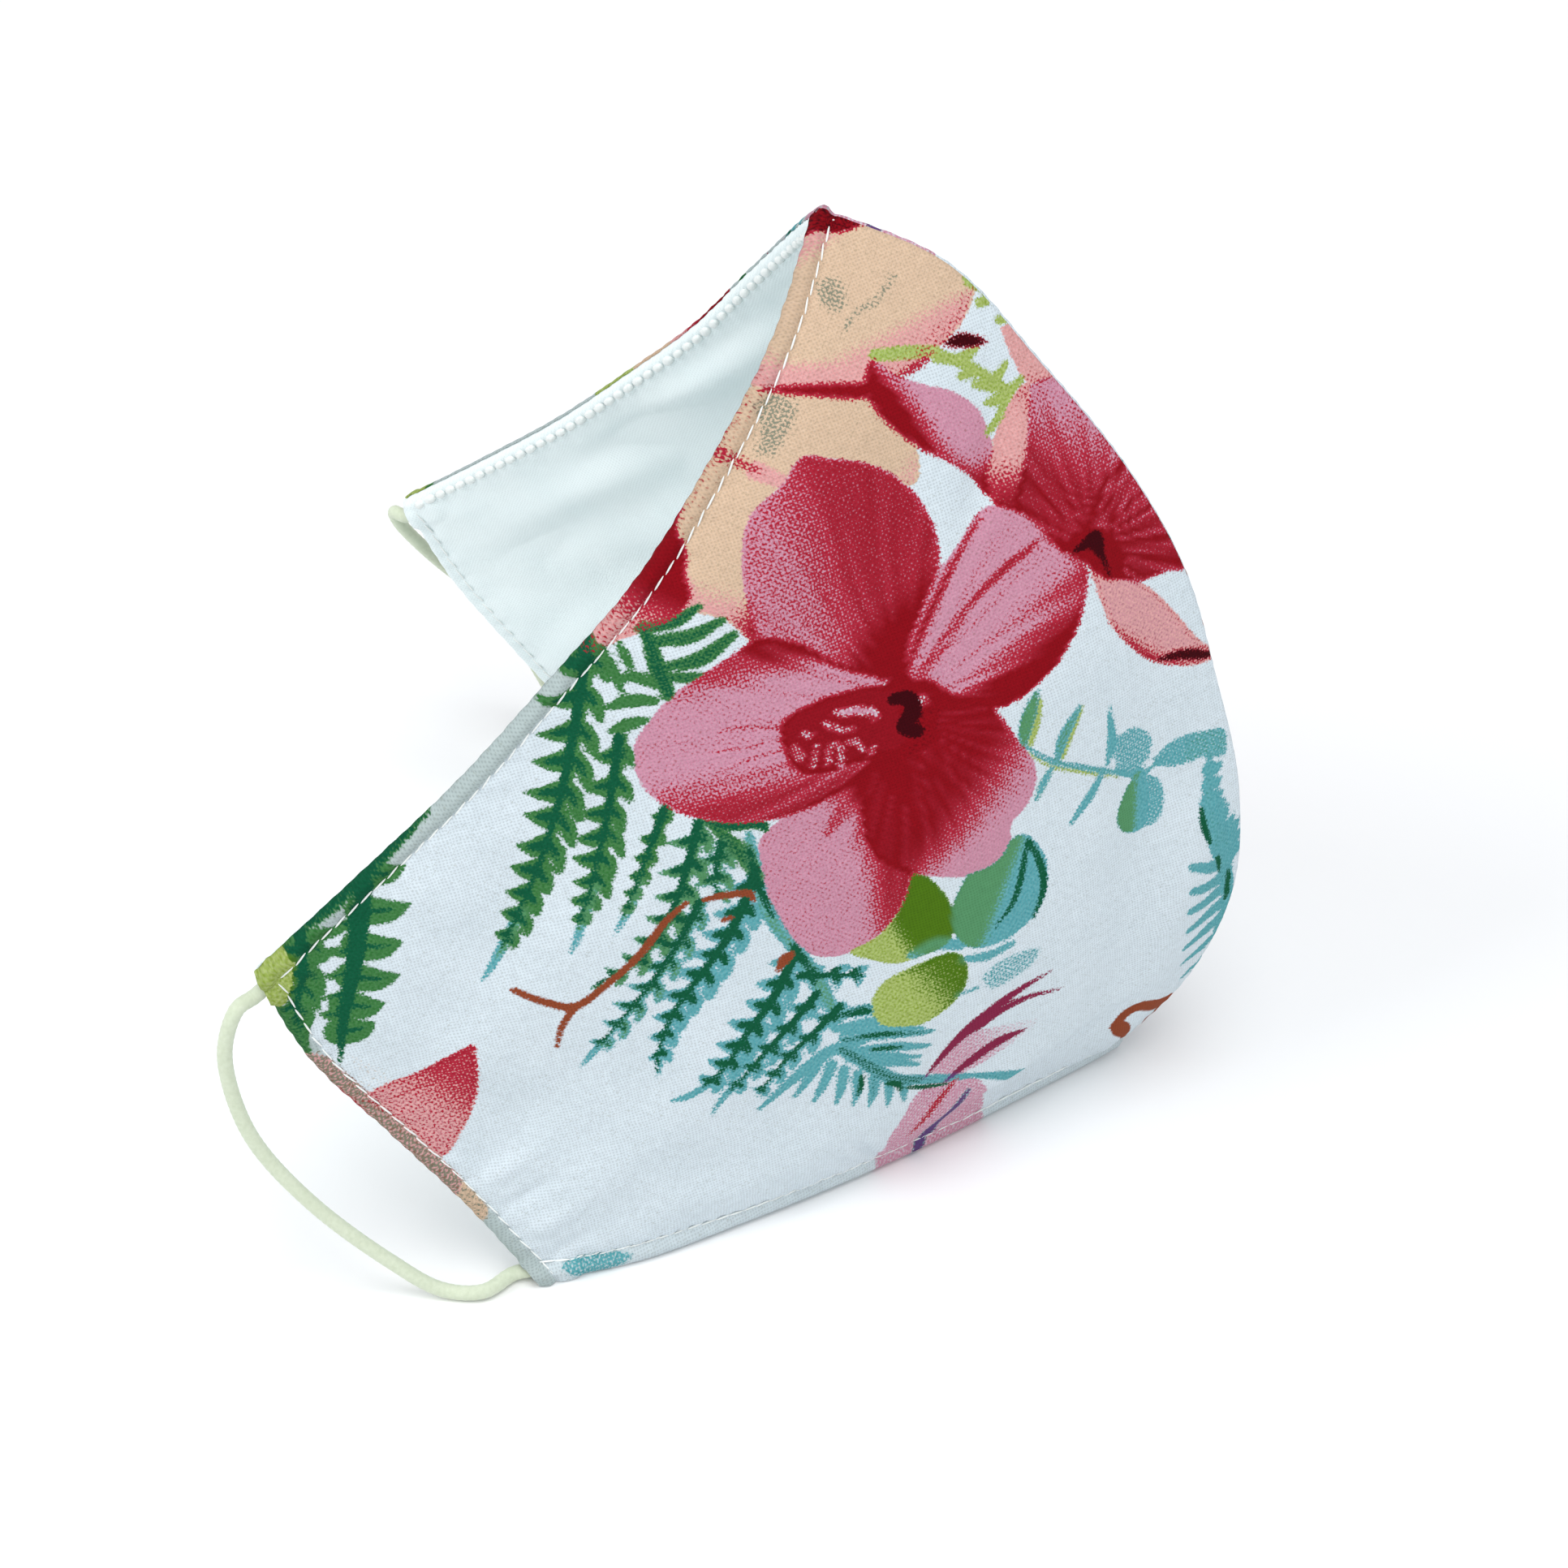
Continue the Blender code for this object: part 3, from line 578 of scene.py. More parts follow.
motifs["earFern"] = [
    ("over", {"green": 1, "deep": .4}, [(-137, 48, 1.2), (-135, 44.6, 1.6), (-133.4, 41.6, .8)]),
    ("frond", {"green": 1, "deep": .2}, [(-123.5, 70.5), (-124.6, 62), (-126.2, 54), (-128.2, 46),
     (-128.6, 40)], [6.0, 6.6, 6.2, 6.0, 5.2, 3.8], 6.0, 1.25, "outer"),
    ("over", {"green": 1, "deep": .9}, [(-122.8, 71.5, .9), (-124.2, 63, 1.1), (-125.8, 55, 1.0),
     (-127.8, 47, .8), (-128.8, 39.4, .3)]),
    ("frond", {"green": 1, "deep": .3}, [(-125, 64), (-126.5, 55), (-128.8, 46)], [2.2, 2.8, 2.6], 4.4, 1.1,
     "inner"),
    ("over", {"green": 1, "deep": .7}, [(-114.5, 77.4, .8), (-119.5, 73.2, 1.5), (-124, 69, 1.6),
     (-129, 63.8, 1.1), (-134, 59.6, .6)]),
    ("frond", {"green": 1, "deep": .3}, [(-132.4, 60.4), (-132.6, 56), (-133.4, 51), (-134.6, 46)],
     [3.6, 4.4, 4.0, 2.6], 3.8, 1.25, "pinnate"),
    ("over", {"green": 1}, [(-127.6, 60.6, .7), (-130.4, 60, 1.3), (-133, 57.6, .9)], [(-128.4, 57.4, .6),
     (-130.6, 56.6, 1.0), (-132.6, 55.6, .7)]),
    ("patch", {"lime": 1, "peach": .3}, [(-141, 55), (-136.5, 58.6), (-134.2, 57), (-134.4, 53.4),
     (-135.6, 50.4), (-138.6, 49)]),
]
motifs["tealFern"] = [
    ("frond", {"teal": .9, "green": .9, "deep": .55}, [(-78.5, 72.6), (-80.4, 66), (-83, 59), (-87, 53),
     (-92, 49.6), (-94.6, 48.4)], [3.8, 4.4, 4.2, 3.8, 2.8, 1.4], 4.4, 1.05, "lobed"),
    ("frond", {"teal": 1, "green": .8, "deep": .5}, [(-75.6, 69), (-76.6, 64), (-76.8, 60.6)],
     [3.0, 3.8, 2.4], 3.6, 1.0, "lobed"),
    ("frond", {"teal": 1, "green": .6, "deep": .48}, [(-79, 60), (-82.6, 53), (-87, 46.6), (-91.4, 41),
     (-94.4, 37)], [3.4, 4.2, 4.0, 3.2, 1.6], 4.4, 1.0, "lobed"),
    ("frond", {"teal": 1, "deep": .5}, [(-71, 64), (-73.4, 57), (-77.4, 50), (-82, 43.6), (-84.8, 37),
     (-85.4, 31.4)], [3.8, 4.6, 4.4, 4.2, 3.6, 2.4, 1.2], 4.2, 1.35, "lobed"),
    ("frond", {"teal": 1, "deep": .48}, [(-65, 50.5), (-67.5, 44), (-72, 37.5), (-76, 31.5), (-79.6, 28.4)],
     [3.6, 4.6, 4.4, 3.6, 1.8], 4.2, 1.35, "lobed"),
    ("frond", {"teal": 1, "deep": .5}, [(-62, 41), (-66.4, 36.5), (-71, 31.6), (-75.6, 26.6)],
     [3.0, 3.8, 3.0, 1.4], 4.2, 1.15, "lobed"),
    ("frond", {"teal": 1, "deep": .7}, [(-64.6, 45), (-59, 43.6), (-54.4, 42.8)], [2.8, 3.2, 1.8], 3.6, 1.0,
     "lobed"),
    ("over", {"teal": 1}, [(-93.6, 38.4, .6), (-95, 36.4, .5), (-96.2, 34.8, .2)], [(-78.6, 29.2, .6),
     (-81.4, 27.6, .6), (-83.6, 27.2, .2)], [(-74.8, 28, .6), (-76.6, 25.6, .5), (-77.8, 23.6, .2)]),
    ("over", {"teal": 1, "green": .5}, [(-72, 70, .6), (-71, 63, 1.4), (-68.6, 55, 1.3), (-65.6, 50, 1.0),
     (-62.4, 44, 1.4), (-59, 36, .8)]),
    ("over", {"deep": 1}, [(-72, 68, .4), (-70.6, 61, .6), (-68.8, 56, .5)], [(-66.2, 51, .3),
     (-64.4, 48, .6), (-63.2, 45.4, .3)]),
    ("over", {"green": 1, "deep": .7}, [(-78.4, 72.8, .4), (-74.6, 71.8, .9), (-70.4, 71.6, 1.0),
     (-69.4, 70, .4)]),
    ("over", {"green": 1, "deep": .5}, [(-77, 72, .6), (-73.6, 68, 1.2), (-70.6, 62.6, 1.1)]),
    ("frond", {"teal": 1, "deep": .5}, [(-58.5, 38), (-62, 34.6), (-66.6, 30.6), (-71, 25.4)],
     [2.6, 3.4, 2.8, 1.4], 4.0, 1.1, "lobed"),
    ("over", {"teal": 1}, [(-55, 31.6, .8), (-60, 30.4, 1.1), (-66, 26.4, .9), (-70.4, 22.4, .4)]),
    ("over", {"teal": 1, "deep": .6}, [(-60, 36.6, .7), (-54, 36.8, 1.0), (-48, 36.2, .6),
     (-44.6, 35.6, .3)]),
    ("over", {"teal": 1}, [(-59, 34.4, .7), (-52, 34.6, .9), (-45.4, 33.6, .4)]),
    ("over", {"deep": 1}, [(-57, 36.4, .4), (-54, 36.6, .5), (-51.6, 36.4, .3)], [(-49, 36.2, .3),
     (-46.6, 35.8, .4), (-45.4, 35.6, .2)]),
    ("over", {"teal": 1}, [(-58, 33.4, .6), (-52, 33.2, .8), (-46, 32, .4)]),
    ("over", {"deep": 1}, [(-55, 32.2, .35), (-52, 32.2, .4), (-49.4, 31.8, .25)], [(-53.6, 29.6, .3),
     (-51, 29.4, .4), (-48.8, 29, .2)]),
    ("over", {"teal": 1}, [(-57, 28.6, .7), (-51, 27.8, .8), (-45.6, 26, .4)]),
    ("over", {"deep": 1}, [(-54.6, 24.8, .4), (-54.8, 22.6, .5), (-55, 21, .3)], [(-50.4, 22, .5),
     (-48.6, 21, .6), (-48, 19.4, .3)]),
    ("over", {"teal": 1}, [(-61.4, 29.4, .9), (-63.2, 26, .8), (-65, 23.2, .4)]),
    ("over", {"teal": 1, "deep": .5}, [(-58, 32.2, .7), (-51, 32, .9), (-44.2, 30.8, .4)]),
    ("over", {"teal": 1}, [(-57, 29.8, .7), (-50, 29.4, .9), (-44.2, 27.8, .4)], [(-55, 27.4, .8),
     (-50, 26.4, .9), (-45.6, 24.2, .4)]),
    ("over", {"teal": 1, "deep": .5}, [(-58, 30.4, 1.0), (-54, 26.8, 1.1), (-49.4, 22.6, 1.1),
     (-44.6, 20.2, 1.0)]),
    ("over", {"teal": 1}, [(-59.6, 28, .9), (-60.6, 24.6, .8), (-62, 21.4, .3)], [(-57.6, 26.8, .8),
     (-57.8, 23.4, .8), (-58.4, 20.2, .3)], [(-55.4, 25.4, .8), (-55.2, 22, .8), (-55.6, 19.2, .3)]),
    ("over", {"teal": 1, "deep": .4}, [(-52.8, 24, .8), (-52.6, 20.6, .8), (-52.8, 18, .3)]),
    ("over", {"teal": 1}, [(-50.4, 22.4, .8), (-49.8, 19.4, .7), (-49.6, 17, .3)], [(-48, 21.4, .8),
     (-47, 18.6, .7), (-46.6, 16.6, .3)]),
    ("over", {"teal": 1, "deep": .35}, [(-46.4, 20.8, .9), (-42, 19, 1.0), (-38, 17.6, .9), (-34, 16.6, .6),
     (-29.6, 15, .7), (-26, 13, .6), (-24, 10, .3)]),
]
motifs["leaves"] = [
    ("over", {"brown": 1}, [(-105, 49.2, .5), (-101, 46.9, .6), (-97, 45.6, .65), (-92, 49.2, .55),
     (-87, 54, .6), (-84, 58, .55), (-81, 60.4, .4)], [(-97, 45.6, .6), (-98.8, 42.4, .5),
     (-99.6, 38.8, .35)], [(-78.6, 60.4, .4), (-75.4, 60.6, .6), (-72, 60.2, .55), (-71.6, 58.6, .3)],
     [(-76, 56.6, .4), (-74.8, 56.8, .4)], [(-68.2, 46.6, .3), (-67, 48.6, .9), (-66.2, 49.2, .6)]),
    ("patch", {"lime": 1, "green": [("ramp", -53.5, 48, -47, 51.6, .15, .9)]}, [(-48.6, 60), (-45.6, 57.8),
     (-42.8, 53.8), (-41.7, 50), (-42.6, 46.4), (-46.5, 45), (-50.5, 44.4), (-54, 45.8), (-57, 47.5),
     (-53, 49.4), (-50, 54)]),
    ("patch", {"lime": 1, "green": [("ramp", -50, 36, -42, 42, .16, .66), ("rim", .8, .2)]}, [(-54, 37),
     (-52.4, 40.6), (-47.4, 43.2), (-41.4, 44.2), (-39.4, 41.4), (-39.8, 37.4), (-43, 34.2), (-48, 32.8),
     (-52.4, 33.8)]),
    ("over", {"teal": 1}, [(-48, 45.2, .7), (-44, 46.4, 1.1), (-40.6, 45.4, .8)]),
    ("patch", {"teal": 1, "green": [("ramp", -32, 50, -37, 52, .1, .85)]}, [(-39.6, 57.4), (-41.6, 52.4),
     (-41, 47.2), (-38.6, 44.6), (-33.4, 44.6), (-29.6, 46.8), (-27.2, 51), (-26.8, 55.4), (-28.4, 59.2),
     (-31, 61.6), (-33.6, 60.6), (-36, 58.2)]),
    ("over", {"deep": 1, "teal": 1}, [(-30, 60.6, .35), (-30.8, 55, .55), (-32.4, 50.4, .45),
     (-35.2, 47, .2)], [(-29.6, 60.4, .3), (-27.8, 56, .6), (-27.2, 51.6, .6), (-28.8, 46.8, .3)]),
    ("tint", {"teal": .52}, [(-37.2, 38.6), (-35, 40.6), (-30.4, 41.6), (-27, 41), (-27.4, 38.6),
     (-31, 36.2), (-35, 35.4)]),
    ("over", {"teal": .85}, [(-40, 42.8, .6), (-36, 42.4, .9), (-32, 43.4, .6)], [(-40.6, 36.4, .4),
     (-37.2, 36.8, .4)]),
    ("tint", {"teal": .6}, [(-100, .2), (-97, 1.7), (-92, 1.4), (-88.6, .1), (-91, -1.8), (-97, -2)]),
]
motifs["lances"] = [
    ("patch", {"pink": [("ramp", -38, 21, -26, 27, .58, .36)]}, [(-43, 21), (-38, 27.5), (-33, 27),
     (-25.4, 26), (-29, 21.6), (-35, 18.6), (-40, 18.2)]),
    ("over", {"plum": 1}, [(-43.8, 20, .3), (-40.6, 25.2, .9), (-36, 29.6, 1.3), (-31, 33, .8),
     (-24.6, 35.6, .2)], [(-36.4, 28, .8), (-32, 30.6, .8), (-27, 31.6, .45), (-22.4, 31.2, .2)]),
    ("patch", {"pink": .6, "salmon": .36, "plum": [("ramp", -41, 4, -38.4, 5, .1, .3),
     ("ramp", -38, 5, -35, 6, 0, -.25)]}, [(-47.6, -2), (-48.2, 6), (-46.4, 12.4), (-44.4, 17), (-40, 18.6),
     (-35, 17), (-31.6, 13), (-30, 9), (-28.4, 3.6), (-27.4, -2)]),
    ("over", {"plum": 1}, [(-39.4, 17.6, .4), (-35.4, 20.8, 1.05), (-31, 23.4, 1.05), (-27.4, 24.4, .3)]),
    ("over", {"crimson": .8}, [(-43.4, 7, .4), (-41.6, 10.6, .7), (-39.4, 14.6, .75), (-37.6, 17.2, .4)]),
    ("over", {"teal": 1, "plum": .8}, [(-35, 13.8, .5), (-37, 9, .9), (-39, 4.5, 1.1), (-40.6, 0, .9),
     (-41, -2, .6)]),
    ("over", {"teal": 1}, [(-46.4, 20.8, .9), (-42, 19, 1.0), (-38, 17.8, .8), (-34, 16.8, .5),
     (-29.6, 15.6, .6), (-26.4, 14.6, .7), (-23.6, 12.8, .7), (-22.8, 11, .5)]),
    ("over", {"deep": 1}, [(-47, 19.6, .3), (-43, 17.8, .45), (-39, 16.8, .3)]),
]
motifs["sprig"] = [
    ("over", {"teal": 1, "green": .5}, [(-31, 76, .3), (-27, 72.8, .4), (-20, 69.4, .45), (-14, 66.6, .4),
     (-9.6, 65, .4), (-4, 66.6, .3)]),
    ("over", {"lime": .8}, [(-31, 75.4, .4), (-27, 72.2, .5), (-20, 68.8, .55), (-14, 66, .4)]),
    ("over", {"teal": 1, "green": .75}, [(-31.6, 76, .4), (-31.2, 79, 1.1), (-30.2, 82, 1.0),
     (-29.2, 84.4, .4)]),
    ("over", {"lime": 1}, [(-30.6, 76, .5), (-29.8, 79.4, .9), (-29, 83, .6)]),
    ("over", {"teal": 1, "green": .5}, [(-25.6, 72.4, .5), (-24.8, 76, 1.1), (-22.4, 80, .5)]),
    ("over", {"lime": 1}, [(-24.8, 72.6, .5), (-23.8, 76.2, .9), (-22, 79.8, .5)]),
    ("over", {"teal": .8, "lime": .7}, [(-26, 72, .4), (-27.6, 69.4, .9), (-28.8, 66.8, .4)]),
    ("over", {"teal": 1}, [(-16.4, 68.6, .4), (-15.8, 73, .8), (-16.6, 78.4, .3)]),
    ("over", {"teal": 1, "lime": .4}, [(-17, 68.2, .4), (-19, 65, .8), (-22.6, 61, .4)]),
    ("patch", {"teal": .62}, [(-15, 69.6), (-14.6, 72.8), (-11, 73.2), (-8, 70.6), (-8.2, 67.4),
     (-10.8, 65.2), (-13.6, 66.4)]),
    ("patch", {"teal": .66}, [(-9.4, 65), (-6, 62.6), (-5.2, 58), (-6.4, 55.4), (-9.6, 55.4), (-10, 60)]),
    ("patch", {"teal": 1, "green": [("ramp", -8.5, 60, -12, 60, .2, .85)]}, [(-10, 65.4), (-12.6, 62),
     (-13.8, 58.4), (-12, 55.4), (-9.4, 55), (-8.4, 60)]),
    ("patch", {"teal": .7, "green": [("ramp", -4, 68, -1, 66.6, 0, .35)]}, [(-7.4, 66.8), (-3.4, 69),
     (1.6, 69), (5.2, 68), (5.4, 63.8), (2, 64.6), (-2, 64.4), (-5, 64.8)]),
]
motifs["seamFern"] = [
    ("over", {"teal": 1, "green": .3}, [(2.6, 65, .4), (2.2, 59, .9), (2.6, 53.6, 1.5), (5, 48.4, 2.2),
     (7, 43, 1.6), (8.6, 38, 1.2), (9.4, 30, 1.2), (9.6, 22, .9), (8.6, 15, .4)]),
    ("frond", {"teal": 1}, [(2.4, 63), (2.4, 55), (5.4, 48), (7.4, 42)], [2.4, 3.4, 4.8, 4.8], 2.9, .85,
     "outer"),
    ("over", {"teal": 1}, [(8, 44.4, 1.3), (4, 44.6, 1.15), (-.4, 46.2, .7)]),
    ("over", {"teal": 1, "deep": .3}, [(8, 41.6, 1.3), (4, 41, 1.15), (.2, 41.6, .7)]),
    ("over", {"teal": 1}, [(8.4, 39, 1.3), (4.4, 37.6, 1.15), (.4, 37.4, .7)], [(8.8, 35.6, 1.3),
     (5, 34, 1.15), (1, 33, .7)], [(9, 32, 1.3), (5.6, 30.2, 1.15), (1.8, 28.8, .6)], [(9.2, 28, .8),
     (6.4, 25.8, .8), (2.8, 24.2, .4)], [(9.4, 24, .7), (7, 21.4, .7), (4.2, 19.4, .3)], [(7.8, 14.6, .6),
     (5.6, 12.6, .5), (2, 11.6, .2)]),
    ("over", {"deep": 1, "teal": 1}, [(1, 56, .4), (1.6, 52.6, .6), (2.6, 49.6, .4)], [(4.6, 46, .5),
     (5.4, 44, .5), (5.8, 42.6, .2)], [(8.2, 42, .4), (8.4, 38.4, .6), (8.6, 35.6, .4)]),
]
motifs["earPetal"] = [
    ("patch", {"pink": .4, "salmon": 1, "crimson": [("ramp", -118, 29, -112, 36, .36, .72),
     ("rim", .8, .15)]}, [(-110.8, 40.6), (-113.6, 39), (-118.5, 36), (-124.4, 33.8), (-125.6, 32),
     (-122, 28.6), (-118.4, 24.4), (-115.6, 21), (-113, 25.4), (-111, 31), (-110.6, 36)]),
    ("over", {"crimson": .6}, [(-122.4, 32, .4), (-117.4, 34, .6), (-112.4, 37.4, .3)]),
    ("tint", {"salmon": .95, "brown": .34, "grey": .58, "crimson": .16}, [(-133.6, 42), (-131, 40.4),
     (-125.8, 34), (-120.6, 27), (-115.6, 20.4), (-113, 16.6), (-114.6, 12.4), (-119, 18), (-124.4, 25),
     (-129.6, 32), (-133.6, 38)]),
    ("over", {"crimson": .5}, [(-129.6, 34.6, .8), (-127.4, 32, 1.0), (-125, 28.6, .5)]),
    ("tint", {"peach": .85, "grey": .28}, [(-113, 16.6), (-115, 17), (-113, 11.6), (-110.6, 8.6),
     (-109.4, 10.8), (-111, 14)]),
    ("tint", {"peach": .34}, [(-128.6, 41.6), (-123.6, 38.4), (-121.6, 34.6), (-125.6, 33.6)]),
]
motifs["twig"] = [
    ("over", {"brown": 1}, [(-6.8, 13.6, .8), (-5.2, 16.2, 1.0), (-3.2, 17, 1.1), (0, 15.6, 1.3),
     (3, 13.8, 1.7), (6, 12, 1.8), (9.6, 10.4, 1.4)], [(-6.4, 13.8, 1.1), (-4.8, 12, 1.5), (-3, 9.2, .9),
     (-1, 5.2, .6), (-.4, 3.6, .3)], [(4.4, 12, 1.4), (3.2, 9.4, 1.0), (2.2, 7, .6)]),
]
motifs["farEdge"] = [  # what crosses the far nose edge
    ("patch", {}, [(-104, 91), (-118, 79), (-134, 62), (-132, 58), (-114, 73), (-101, 86)]),
    ("patch", {"salmon": 1, "crimson": [("ramp", -88, 104, -82, 112, .2, 1)]}, [(-74, 118), (-80, 118),
     (-90, 105), (-96, 96), (-88, 96), (-80, 102), (-76, 110)]),
    ("patch", {"peach": 1, "salmon": [("ramp", -88, 96, -84, 90, 0, .8)]}, [(-84, 107), (-90, 103),
     (-97, 95), (-95, 90), (-88, 86), (-82, 89), (-79, 96), (-80, 103)]),
    ("patch", {"lime": 1, "green": [("ramp", -96, 90, -91, 85, .1, .7)]}, [(-92, 97), (-97, 96), (-102, 89),
     (-99, 84.6), (-94, 83), (-90, 86), (-89.4, 91)]),
    ("over", {"green": 1, "deep": .5}, [(-62, 116, .8), (-68, 119, 1.4), (-73, 122, 1.5), (-78, 124, 1.0)]),
    ("over", {"teal": 1, "deep": .6}, [(-50, 128, .8), (-56, 132, 1.6), (-62, 137, 2.0), (-67, 140, 1.4)]),
    ("over", {"teal": 1}, [(-56, 138, .5), (-61, 140, 1.0), (-65, 143, .8)]),
]
# Which motifs lie on a half: name, turn in degrees about the middle point, shift.
allMotifs = ("tip", "peachPetal", "midSpear", "seamBloom", "longFern", "tealFern", "earFern", "leaves",
             "lances", "sprig", "seamFern", "twig", "earPetal", "bloom")
rimMotifs = ("earFern", "seamFern", "twig", "earPetal")
nearLayout = [(name, 0, 0, 0) for name in allMotifs]
farLayout = [(name, 160, 0, 4) for name in allMotifs if name not in rimMotifs]
farLayout += [(name, 0, 0, 0) for name in ("lances", *rimMotifs, "farEdge")]
layoutMiddle = (-55, 75)


def segmentDistance(x, y, line):
    best = np.full(x.shape, 1e9)
    for (ax, ay), (bx, by) in zip(line[:-1], line[1:]):
        dx, dy = bx - ax, by - ay
        t = np.clip(((x - ax) * dx + (y - ay) * dy) / (dx * dx + dy * dy + 1e-12), 0, 1)
        best = np.minimum(best, (x - ax - t * dx) ** 2 + (y - ay - t * dy) ** 2)
    return np.sqrt(best)


def insideDistance(x, y, points):  # millimetres inside a smooth closed shape, negative outside
    ring = smoothLine(list(points) + list(points[:1]), 5 * len(points) + 1)
    far = segmentDistance(x, y, ring)
    inside = np.zeros(x.shape, bool)
    for (ax, ay), (bx, by) in zip(ring[:-1], ring[1:]):
        if ay != by:
            inside ^= ((ay > y) != (by > y)) & (x < (bx - ax) * (y - ay) / (by - ay) + ax)
    return np.where(inside, far, -far)


def strokeDistance(x, y, points):
    pts = np.array(points, float)
    if len(pts) > 2:
        pts = smoothLine(pts, 4 * len(pts))
    best = np.full(x.shape, -1e9)
    for a, b in zip(pts[:-1], pts[1:]):
        dx, dy = b[0] - a[0], b[1] - a[1]
        t = np.clip(((x - a[0]) * dx + (y - a[1]) * dy) / (dx * dx + dy * dy + 1e-12), 0, 1)
        best = np.maximum(best, a[2] + t * (b[2] - a[2]) - np.hypot(x - a[0] - t * dx, y - a[1] - t * dy))
    return best


def toneAt(tone, x, y, inside):
    if not isinstance(tone, list):
        return np.full(x.shape, float(tone))
    out = np.zeros(x.shape)
    for part in tone:
        if part[0] == "ramp":
            _, x0, y0, x1, y1, a, b = part
            dx, dy = x1 - x0, y1 - y0
            k = np.clip(((x - x0) * dx + (y - y0) * dy) / (dx * dx + dy * dy), 0, 1)
            out += a + (b - a) * k * k * (3 - 2 * k)
        elif part[0] == "rays":
            _, cx, cy, count, strength = part
            turn, far = np.arctan2(y - cy, x - cx), np.hypot(x - cx, y - cy)
            wave = np.sin(count * turn + 0.9 * np.sin(0.23 * far))
            wave += 0.7 * np.sin(1.73 * count * turn + 2.1 + 0.05 * far)
            out += strength * wave * np.clip(1.25 - far / 38, 0.15, 1)
        elif part[0] == "rim":
            out += part[2] * np.clip(1 - inside / part[1], 0, 1)
    return out


# Leaflets on the two hands of a stem: first and last turn from its run, share of the length,
# half widths at the root, middle and tip as shares of the frond's width.
frondHands = {
    "pinnate": ((1, 44, 26, 1.08, (0.8, 0.95, 0.42)), (-1, 74, 88, 0.96, (1.6, 0.95, 0.2))),
    "lobed": ((1, 50, 24, 0.98, (0.6, 0.95, 0.6)), (-1, 66, 80, 0.84, (1.2, 0.85, 0.3))),
    "outer": ((1, 92, 116, 1.0, (1.9, 1.4, 0.2)),), "inner": ((-1, 74, 90, 1.0, (1.0, 0.9, 0.3)),),
}


def leafletsOf(spine, lengths, pitch, width, kind, rng):
    line, run, total = byLength(smoothLine(spine, 60))
    out = []
    for hand, first, last, long, wide in frondHands[kind]:
        at = (0.25 if hand > 0 else 0.6) * pitch
        while at < 0.95 * total:
            share = at / total
            here = np.array([np.interp(share, run, line[:, j]) for j in (0, 1)])
            ahead = np.array([np.interp(min(share + 0.03, 1), run, line[:, j]) for j in (0, 1)])
            t = (ahead - here) / (np.linalg.norm(ahead - here) + 1e-9)
            size = np.interp(share, np.linspace(0, 1, len(lengths)), lengths) * long * rng.uniform(0.92, 1.08)
            w = width * min(1, 0.35 + size / 6)
            stroke, spot, sway = [(*here, w * wide[0])], here, rng.uniform(-5, 5)
            for part, turn in ((0.5, first), (0.5, last)):
                a = hand * math.radians(turn + sway)
                turned = [t[0] * math.cos(a) - t[1] * math.sin(a), t[0] * math.sin(a) + t[1] * math.cos(a)]
                spot = spot + part * size * np.array(turned)
                stroke.append((*spot, w * wide[len(stroke)]))
            out.append(stroke)
            at += pitch * (1 - (0.25 if kind == "lobed" else 0.42) * share) * rng.uniform(0.94, 1.06)
    stem = [(*line[j], 0.95 * width * (1 - 0.7 * run[j])) for j in range(0, len(line), 8)]
    return out, stem + [(*line[-1], 0.15)]


def nearShape(x, y, s, margin):  # the places in the box round a shape
    low, high = s[:, :2].min(0) - margin, s[:, :2].max(0) + margin
    return np.nonzero((x > low[0]) & (x < high[0]) & (y > low[1]) & (y < high[1]))[0]


